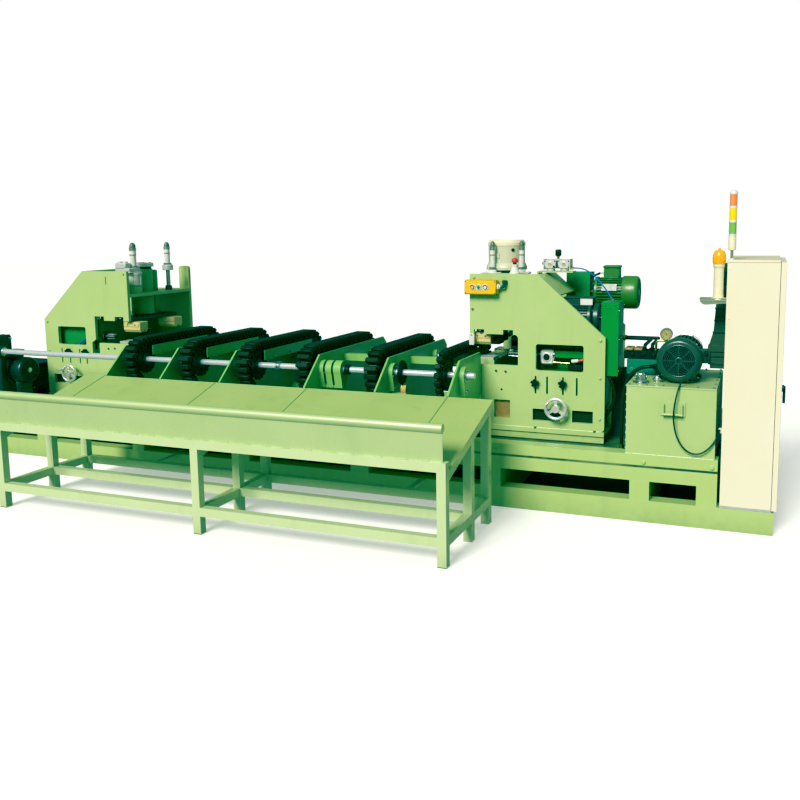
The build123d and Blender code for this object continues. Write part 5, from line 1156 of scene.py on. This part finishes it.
# ------------------------------------------------------------------ hydraulic unit
def hydraulics():
    M = Mesh()
    x, z = -535.0, 940.0
    # motor body with fins, end shield, feet, terminal box
    M.lathe(GREEN_DARK, (x, 188, z), (0, 1, 0), [(0, 21), (0, 106), (4, 110), (10, 110), (10, 96), (262, 96), (262, 106), (266, 110), (274, 110), (282, 100),
                                                 (282, 21)], 56, closed=True)
    for k in range(32):
        t = 2 * math.pi * (k + 0.5) / 32
        a = Vector((math.cos(t), 0, math.sin(t)))
        if a.z < -0.80 or a.x > 0.95:
            continue
        M.obox(GREEN_DARK, Vector((x, 325, z)) + a * 103.5, (0, 1, 0), a, a.cross(Vector((0, 1, 0))), (124, 9.0, 1.8), 0.7)
    for y0 in (230, 370):
        M.prism(GREEN_DARK, [(x - 105, 805), (x + 105, 805), (x + 105, 819), (x + 80, 830), (x + 66, 862), (x - 66, 862), (x - 80, 830), (x - 105, 819)],
                "y", y0, y0 + 60, 3)
        for s in (-1, 1):
            M.bolt(STEEL, (x + s * 92, y0 + 30, 819), (0, 0, 1), 17, 11)
    M.box(GREEN_DARK, x + 80, x + 150, 262, 378, 908, 982, 5)
    M.box(GREEN_DARK, x + 148, x + 160, 258, 382, 904, 986, 4)
    for y, zz in product((270, 370), (916, 974)):
        M.socket(STEEL, (x + 159, y, zz), (1, 0, 0), 4.5, 1.0)
    M.lathe(BLACKPL, (-395, 263, 970), (0, -1, 0), [(0, 0), (0, 14), (8, 14), (8, 11), (18, 11), (22, 8), (23, 5), (23, 0)], 6)
    # fan cowl: rolled sheet with a stepped face, fine grille rings and spokes, screws
    M.lathe(GREEN_DARK, (x, 100, z), (0, 1, 0), [(0, 90), (0, 104), (2, 112), (7, 119), (14, 124), (22, 126.5), (88, 127), (90, 126), (90, 123), (14, 120),
                                                 (6, 110), (4, 100), (4, 90)], 72, closed=True)
    M.ring(GREEN_DARK, (x, 101.5, z), (0, 1, 0), 90, 2.6, 64, 8)
    for r in (22, 32, 42, 52, 62, 72, 81):
        M.ring(GREEN_DARK, (x, 102, z), (0, 1, 0), r, 2.2, 56, 6)
    for k in range(8):
        t = 2 * math.pi * k / 8
        a = Vector((math.cos(t), 0, math.sin(t)))
        M.obox(GREEN_DARK, Vector((x, 103, z)) + a * 56, a, (0, 1, 0), a.cross(Vector((0, 1, 0))), (37, 1.6, 2.6), 0.6)
    M.lathe(GREEN_DARK, (x, 105, z), (0, -1, 0), [(0, 12.4), (0, 22), (3, 22), (5, 19), (5, 12.4)], 32, closed=True)
    for k in range(4):
        t = math.pi * (k + 0.5) / 2
        a = Vector((math.cos(t), 0, math.sin(t)))
        M.lathe(STEEL, Vector((x, 176, z)) + a * 126, a, [(0, 0), (0, 6), (3, 5), (4, 0)], 12)
    M.plate((x - 74, 325, z + 74), (-0.7, 0, 0.7), (0.7, 0, 0.7), 90, 56, ALU)
    M.done("pump_motor_parts", "root", "pump_motor", slot="dark_green")

    M = Mesh()
    # filler neck, breather, bell housing, pump
    M.lathe(STEEL, (-742, 95, 805), (0, 0, 1), [(0, 20.4), (0, 46), (5, 46), (7, 43), (7, 34), (25, 34), (25, 20.4)], 40, closed=True)
    for k in range(6):
        t = 2 * math.pi * k / 6
        M.socket(BLACKOX, (-742 + 40 * math.cos(t), 95 + 40 * math.sin(t), 811), (0, 0, 1), 3.6, 4)
    M.lathe(CHROME, (-655, 150, 805), (0, 0, 1), [(0, 0), (0, 24), (9, 24), (9, 19), (14, 19), (14, 29), (17, 30), (28, 30), (34, 27), (39, 20), (41, 9), (41, 0)], 40)
    M.lathe(ALU, (x, 470, z), (0, 1, 0), [(0, 80), (0, 105), (14, 105), (16, 96), (112, 92), (116, 100), (130, 100), (130, 30), (120, 30), (120, 80)], 56, closed=True)
    for k in range(8):
        t = 2 * math.pi * (k + 0.5) / 8
        a = Vector((math.cos(t), 0, math.sin(t)))
        M.bolt(STEEL, Vector((x, 484, z)) + a * 98, (0, 1, 0), 11, 8, False)
        M.obox(ALU, Vector((x, 535, z)) + a * 96, (0, 1, 0), a, a.cross(Vector((0, 1, 0))), (48, 5, 4), 1)
    M.lathe(BLACKOX, (x, 598, z), (0, 1, 0), [(0, 0), (0, 60), (6, 60), (8, 52), (60, 50), (62, 58), (86, 58), (92, 50), (92, 0)], 8)
    # manifold: drilled block with plugs, valve block on top with two brown coils
    M.box(TEAL, -868, -680, 380, 520, 805, 899, 4)
    M.box(BLACKOX, -888, -681, 395, 505, 898, 950, 4)
    for k, xx in enumerate((-838, -774, -710)):
        M.lathe(TEAL_EDGE, (xx, 381, 838), (0, -1, 0), [(0, 0), (0, 11), (4, 11), (6, 8), (6, 5), (3, 4, BLACKOX), (3, 0)], 6)
        M.lathe(BLACKOX, (xx, 396, 924), (0, -1, 0), [(0, 0), (0, 13), (5, 13), (7, 10), (7, 0)], 6)
    for x0 in (-886, -830):
        M.box(BRONZE, x0, x0 + 52, 401, 499, 948, 966, 5)
        M.socket(BLACKOX, (x0 + 26, 450, 965), (0, 0, 1), 8, 5)
    for a in (-745, -694):
        M.socket(STEEL, (a, 495, 949), (0, 0, 1), 6, 6)
    for px, y, y2 in ((-765.0, 420.0, 740.0), (-725.0, 455.0, 786.0)):
        M.sweep(BLACKOX, [(px, y, 928), (px, y, 950), (px, y, 968), (px, y + 4, 979), (px, y + 15, 983), (px, y + 60, 983), (px, (y + y2) / 2, 983),
                          (px, y2 - 60, 983), (px, y2 - 15, 983), (px - 4, y2 - 4, 983), (px - 15, y2, 983), (px - 60, y2, 983), (-900, y2, 983),
                          (-960, y2, 983), (-1012, y2, 983)], 11, 14, sub=4)
        M.lathe(BLACKOX, (px, y, 949), (0, 0, 1), [(0, 0), (0, 18), (12, 18), (14, 15), (14, 0)], 6)
        M.lathe(BRASS, (-930, y2, 983), (-1, 0, 0), [(0, 11.2), (0, 17), (20, 17), (22, 14), (22, 11.2)], 6, closed=True)
    # port block of the return hose with its fitting, deck fitting
    M.box(BLACKOX, -688, -655, 280, 325, 805, 888, 3)
    M.lathe(BLACKOX, (-688, 302, 870), (-1, 0, 0), [(0, 11.3), (0, 19), (9, 19), (11, 16), (11, 14), (30, 14), (31, 11.3)], 6, closed=True)
    M.lathe(STEEL, (-880, 310, 330), (0, 0, 1), [(0, 0), (0, 24), (8, 24), (10, 20), (10, 17), (22, 17), (22, 0)], 6)
    M.lathe(BRASS, (-880, 310, 350), (0, 0, 1), [(0, 11.3), (0, 15), (24, 15), (26, 13), (26, 11.3)], 24, closed=True)
    # gland of the power lead by the cabinet
    M.box(CREAM, -306, -284, 72, 92, 541, 571, 2)
    M.lathe(BLACKPL, (-301, 92, 556), (0, -1, 0), [(0, 0), (0, 11), (10, 11), (10, 9), (20, 9), (25, 6), (26, 4.7), (26, 0)], 6)
    M.done("pump_unit_parts", "root", "pump_unit", slot="dark_green")

    M = Mesh()
    M.lathe(CHROME, (-742, 95, 814), (0, 0, 1), [(0, 0), (0, 20), (17, 20), (17, 30), (19, 32), (24, 32), (24, 29), (27, 29), (27, 32), (33, 32), (33, 29), (36, 29),
                                                 (36, 31), (44, 31), (50, 27), (52, 20), (52, 0)], 48)
    for k in range(16):
        t = 2 * math.pi * k / 16
        a = Vector((math.cos(t), math.sin(t), 0))
        M.obox(CHROME, Vector((-742, 95, 854)) + a * 30.5, (0, 0, 1), a, a.cross(Vector((0, 0, 1))), (4.5, 1.4, 2.2), 0.6)
    M.done("filler_cap_parts", "filler_cap", "filler_cap", slot="chrome")

    M = Mesh()
    M.lathe(STEEL, (-640, 448, 1055), (0, -1, 0), [(0, 0), (0, 33), (3, 36), (26, 37), (34, 37), (36, 35), (36, 31), (31, 30, DIAL), (31, 0)], 48)
    for k in range(11):
        t = math.radians(225 - 27 * k)
        a = Vector((math.cos(t), 0, math.sin(t)))
        M.obox(BLACKPL, Vector((-640, 416.6, 1055)) + a * 25, a, (0, 1, 0), a.cross(Vector((0, 1, 0))), (3.2 if k % 5 else 4.5, 0.5, 0.7), 0.2)
    a = Vector((-0.55, 0, 0.83))
    M.obox(BLACKPL, Vector((-640, 415.8, 1055)) + a * 8, a, (0, 1, 0), a.cross(Vector((0, 1, 0))), (15, 0.5, 0.9), 0.2)
    M.lathe(BLACKPL, (-640, 416.8, 1055), (0, -1, 0), [(0, 0), (0, 3.4), (1.6, 2.4), (1.8, 0)], 14)
    M.sweep(BRASS, [(-700, 430, 928), (-700, 430, 950), (-700, 430, 984), (-699, 430, 1000), (-692, 430, 1010), (-676, 430, 1013), (-655, 430, 1013), (-645, 430, 1015),
                    (-640, 430, 1022), (-640, 430, 1030)], 7.5, 12, sub=4)
    M.lathe(BRASS, (-700, 430, 948), (0, 0, 1), [(0, 7), (0, 14), (12, 14), (14, 11), (14, 7)], 6, closed=True)
    M.lathe(BRASS, (-640, 430, 1004), (0, 0, 1), [(0, 0), (0, 11), (15, 11), (16, 9), (16, 0)], 6)
    M.done("pressure_gauge_parts", "root", "pressure_gauge", slot="steel")

    M = Mesh()
    # tank: lid screws, side flange bolts, weld runs
    for xx in (-795, -700, -606, -512, -418, -332):
        for y in (16, 686):
            M.bolt(STEEL, (xx, y, 805), (0, 0, 1), 11, 8)
    for y in (150, 290, 420, 560):
        for xx in (-800, -330):
            M.bolt(STEEL, (xx, y, 805), (0, 0, 1), 11, 8)
    for z in range(430, 790, 45):
        M.socket(GREEN, (-810, 24, z), (-1, 0, 0), 7, 5)
    M.bead((-808, 3, 404), (-320, 3, 404), GREEN, 3.5)
    M.bead((-811, 8, 404), (-811, 696, 404), GREEN, 3.5)
    # dark sheet between the right head and the tank: painted shade in the gap
    M.box(GREEN_BLACK, -1008, -811, 696, 700, 333, 800, 1.5)
    M.done("tank_fixings", "root", slot="green")


hydraulics()


# ------------------------------------------------------------------ cabinet, beacon and signal tower
def cabinet():
    M = Mesh()
    x, y = -268.0, 95.0
    M.lathe(WHITEPL, (x, y, 0), (0, 0, 1),
            [(1514, 0), (1514, 20), (1518, 20), (1521, 12), (1524, 8, CHROME), (1568, 8), (1568, 17, IVORY), (1571, 20.5), (1640, 20.5), (1643, 19),
             (1646, 19, WHITEPL), (1646, 20.5), (1654, 20.5), (1656, 19.8, L_GREEN), (1718, 19.8), (1719, 20.8, WHITEPL), (1729, 20.8), (1730, 19.8, L_YELLOW),
             (1796, 19.8), (1797, 20.8, WHITEPL), (1807, 20.8), (1808, 19.8, L_ORANGE), (1870, 19.8), (1871, 20.8, WHITEPL), (1882, 20.4), (1889, 16), (1893, 8),
             (1893, 0)], 40)
    for k in range(3):
        t = 2 * math.pi * k / 3
        M.socket(STEEL, (x + 15 * math.cos(t), y + 15 * math.sin(t), 1517), (0, 0, 1), 2.6, 3)
    M.done("signal_lamps", "root", "signal_tower", slot="signal")

    M = Mesh()
    # tray with a turned-up rim and cross wires, pale post, amber beacon
    dish = [(-430, 1304), (-426, 1284), (-414, 1272), (-398, 1268), (-284, 1276), (-284, 1304)]
    for y0 in (70, 157):
        M.prism(TRAYPL, dish, "y", y0, y0 + 3, 0.8)
    M.prism(TRAYPL, [(-429, 1304), (-425, 1284), (-413.5, 1273), (-398, 1269), (-285, 1277), (-285, 1293), (-396, 1290), (-418, 1296), (-425, 1304)], "y", 72, 158, 0.8)
    for z0 in (1302.5, 1286):
        M.sweep(GREEN_BLACK, [(-285, 69.5, z0), (-340, 69.5, z0), (-424 if z0 < 1300 else -429, 69.5, z0)], 1.6, 8)
    M.lathe(IVORY, (-333, 112, 0), (0, 0, 1), [(1293, 0), (1293, 44), (1297, 46), (1302, 44), (1304, 30), (1330, 27), (1470, 27), (1474, 30), (1486, 31), (1492, 30),
                                               (1492, 32, AMBERPL), (1498, 34), (1508, 35.5), (1524, 36), (1544, 34), (1558, 29), (1567, 21), (1569, 11),
                                               (1570, 8), (1576, 8), (1580, 5), (1580, 0)], 44)
    # cable duct curving down the cabinet's side, in ribbed lengths
    line = [(-284, 1490), (-326, 1490), (-340, 1400), (-352, 1247), (-360, 1100), (-384, 1013), (-384, 985), (-374.5, 985), (-374.5, 880), (-284, 880)]
    M.prism(OLIVE, line, "y", 270, 330, 4)
    for z, xo in ((1440, -333), (1370, -342), (1300, -347), (1230, -353), (1160, -356), (1090, -362), (950, -375), (905, -375)):
        M.box(GREEN_BLACK, -284, xo - 3, 266, 334, z - 4, z + 4, 1.5)
    M.box(OLIVE, -388, -284, 262, 338, 976, 1018, 4)
    M.done("beacon_and_duct", "root", "beacon_post", slot="white_plastic")

    M = Mesh()
    # cabinet: plinth lip, folded top rim, corner screws, rain gutter, vent slots at the back
    M.box(CREAM, -287, -16, -3, 803, 1503, 1517, 3)
    M.box(GREYPL, -286, -17, -2, 802, 130.5, 146, 2)
    for z in (180, 520, 860, 1200, 1470):
        M.lathe(CREAM, (-268, -0.5, z), (0, -1, 0), [(-1, 0), (-1, 5), (1.5, 4), (2, 0)], 14)
    for k in range(10):
        M.prism(CREAM, [(800, 1180 + 22 * k), (803, 1180 + 22 * k), (806.5, 1192 + 22 * k), (800, 1194 + 22 * k)], "x", -210, -90, 0.5)
    M.box(BLACKPL, -24, -15, 2, 798, 136, 141, 1)
    M.done("cabinet_trim", "root", slot="cream")
    M = Mesh()
    # door: folded edge, gasket line, stiffening swage
    M.box(CREAM, 13.2, 15.2, 8, 792, 146, 1500, 0.9)
    for z0 in (180, 860):
        for k, (a, b) in enumerate(((40, 760), (40, 760))):
            M.box(CREAM, 14.6, 17.0, a, b, z0 + k * 590, z0 + k * 590 + 4, 1.0)
    M.done("cabinet_door_trim", "cabinet_door", slot="cream")


cabinet()


# ------------------------------------------------------------------ bed and table
def structure():
    M = Mesh()
    for x in (-705.0, -330.0, -1600.0, -2500.0, -3400.0, -4300.0, -5200.0, -6100.0):
        M.bolt(GREEN_BED, (x, 0, 358), (0, -1, 0), 20, 10)
    # weld runs along the bed, a near-black sheet under it as painted shade, packing strip under the right head
    M.bead((-298, 2, 131), (-298, 98, 131), GREEN_BED, 4)
    M.box(SHADE_BLACK, -6190, -130, 101, 1399, 2, 6, 1)
    M.box(GREEN_BED, -1900, -1012, 440, 460, 333, 383.6, 2)
    for x in (-6150, -5200, -4300, -3400, -2520, -1620, -720, -60):
        # levelling pads under the bed's feet
        M.box(DARKSTEEL, x - 40, x + 40, 14, 86, 0, 12, 2)
        M.box(DARKSTEEL, x - 40, x + 40, 1414, 1486, 0, 12, 2)
    M.done("bed_fixings", "root", slot="steel")

    M = Mesh()
    TX, TY = (-4531.0, -3065.0, -1581.0), (-1052.0, -649.0, -339.0)
    for x, y in product(TX, TY):
        # foot plates and welds at the stretchers
        M.box(GREEN_LEG, x - 1.5, x + 51.5, max(y - 1.5, -1052), y + 51.5, 0, 7, 2)
        for yy in (y + 3.2, y + 46.8):
            M.bead((x - 1, yy, 108), (x - 1, yy, 158), GREEN_TABLE, 2.4)
    for i in range(2):
        for y in TY:
            for x in (TX[i] + 50, TX[i + 1]):
                M.bead((x, y + 1, 158), (x, y + 49, 158), GREEN_TABLE, 3.2)
                M.bead((x, y + 3.4, 110), (x, y + 3.4, 157), GREEN_TABLE, 2.6)
    # stitch welds under the front sheet, seams of the chute as darker strips that paint the joints' shadow, rolled
    # edge's end lips
    x = -4500.0
    while x < -1600:
        M.bead((x, -1034.5, 548), (x + 46, -1034.5, 548), GREEN_TABLE, 2.6)
        x += 132 + random.uniform(-14, 14)
    slope = 220.0 / 748.0
    for xs in (-4360.0, -3440.0, -2755.0, -1812.0):
        p, q = Vector((xs, -1000, 500 + 2 * slope)), Vector((xs, -256, 500 + 746 * slope))
        t = (q - p).normalized()
        M.obox(GREEN_SHADE, (p + q) / 2 + Vector((0, 0, 0.3)), (1, 0, 0), t, Vector((1, 0, 0)).cross(t), (2.0, (q - p).length / 2, 0.7), 0.4)
    M.lathe(GREEN_SHEET, (-1556, -1028, 719), (1, 0, 0), [(0, 0), (0, 21.5), (2.6, 22.5), (4.4, 21.5), (4.8, 18), (4.8, 0)], 36)
    M.done("table_welds", "root", slot="green")


structure()

# ------------------------------------------------------------------ cords
AIR = [(-1266, 692, 1440), (-1218, 692, 1440), (-1168, 678, 1420), (-1116, 654, 1384), (-1070, 630, 1338),
       (-1030, 607, 1293), (-1000, 590, 1250)]
HOSE = [(-690, 302, 870), (-745, 302, 870), (-800, 302, 846), (-842, 303, 800), (-864, 304, 738), (-874, 306, 668),
        (-879, 308, 596), (-881, 310, 520), (-880, 310, 436), (-880, 310, 352)]
LEAD = [(-395, 240, 970), (-395, 200, 970), (-397, 160, 971), (-398, 120, 969), (-403, 86, 961), (-424, 64, 944),
        (-448, 52, 918), (-474, 40, 887), (-497, 24, 855), (-513, 2, 825), (-524, -24, 789), (-533, -38, 742),
        (-540, -44, 690), (-542, -45, 636), (-536, -41, 582), (-522, -35, 528), (-498, -29, 480), (-464, -24, 446),
        (-424, -22, 432), (-384, -22, 442), (-350, -20, 470), (-324, -14, 505), (-308, 5, 537), (-301, 34, 556),
        (-301, 66, 556)]


def cord(name, pts, d, material, node):
    cu = bpy.data.curves.new(name, "CURVE")
    cu.dimensions = "3D"
    sp = cu.splines.new("NURBS")
    sp.points.add(len(pts) - 1)
    for p, q in zip(sp.points, pts):
        p.co = tuple(W(*q)) + (1.0,)
    sp.order_u = 3
    sp.use_endpoint_u = True
    cu.resolution_u = 10
    cu.bevel_depth = d / 2000.0
    cu.bevel_resolution = 4
    cu.use_fill_caps = True
    cu.materials.append(material)
    ob = bpy.data.objects.new(name, cu)
    scene.collection.objects.link(ob)
    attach(ob, "root")
    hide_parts(node)
    return ob


cord("air_tube", AIR, 9.0, BLUEPL, "air_hose")
cord("return_hose", HOSE, 22.0, RUBBER, "hydraulic_hose")
cord("motor_lead", LEAD, 9.0, LEADPL, "power_lead")


# ------------------------------------------------------------------ floor, light
def make_stage():
    g = G("floor_pale", Roughness=0.8)
    g.b.inputs["Specular IOR Level"].default_value = 0.1
    col = g.mix(g.rng(g.noise(0.6, 4.0, 0.5), 0.3, 0.7), (0.90, 0.90, 0.89, 1), (0.93, 0.93, 0.92, 1))
    g.b.inputs["Emission Color"].default_value = (1, 1, 1, 1)
    g.b.inputs["Emission Strength"].default_value = 0.35
    fm = g.set(Base_Color=col, Normal=g.bump(g.noise(90.0, 3.0, 0.6), 0.02, 0.001))
    bm = bmesh.new()
    bmesh.ops.create_circle(bm, cap_ends=True, radius=60.0, segments=96)
    me = bpy.data.meshes.new("floor")
    bm.to_mesh(me)
    bm.free()
    ob = bpy.data.objects.new("floor", me)
    me.materials.append(fm)
    ob.location.z = -0.0005
    ob.visible_diffuse = False
    ob.visible_glossy = False
    scene.collection.objects.link(ob)
    w = bpy.data.worlds.new("studio")
    scene.world = w
    w.use_nodes = True
    t = w.node_tree
    t.nodes.clear()
    out = t.nodes.new("ShaderNodeOutputWorld")
    a, b = t.nodes.new("ShaderNodeBackground"), t.nodes.new("ShaderNodeBackground")
    a.inputs[0].default_value = (0.78, 1.0, 0.76, 1)
    a.inputs[1].default_value = 0.25
    b.inputs[0].default_value = (1, 1, 1, 1)
    b.inputs[1].default_value = 1.0
    lp, mx = t.nodes.new("ShaderNodeLightPath"), t.nodes.new("ShaderNodeMixShader")
    t.links.new(lp.outputs["Is Camera Ray"], mx.inputs[0])
    t.links.new(a.outputs[0], mx.inputs[1])
    t.links.new(b.outputs[0], mx.inputs[2])
    t.links.new(mx.outputs[0], out.inputs[0])
    sun = bpy.data.lights.new("key", "SUN")
    sun.energy = 3.2
    sun.angle = math.radians(22)
    sun.color = (1.0, 0.98, 0.92)
    so = bpy.data.objects.new("key", sun)
    so.rotation_mode = "QUATERNION"
    so.rotation_quaternion = Vector((0.14, 0.86, -0.62)).to_track_quat("-Z", "Y")
    scene.collection.objects.link(so)


make_stage()
vs = scene.view_settings
vs.view_transform = "Standard"
vs.look = "None"
# deep shadows keep little red, as on cheap film
vs.use_curve_mapping = True
for c, pts in ((0, ((0.03, 0.002), (0.06, 0.006), (0.10, 0.03), (0.2, 0.165), (0.3, 0.27), (0.5, 0.5))),
               (1, ((0.055, 0.066), (0.1, 0.117), (0.25, 0.285), (0.45, 0.472), (0.7, 0.7))),
               (2, ((0.006, 0.003), (0.014, 0.015), (0.03, 0.038), (0.1, 0.115), (0.15, 0.175), (0.22, 0.242), (0.35, 0.37), (0.6, 0.62)))):
    for p in pts:
        vs.curve_mapping.curves[c].points.new(*p)
vs.curve_mapping.update()
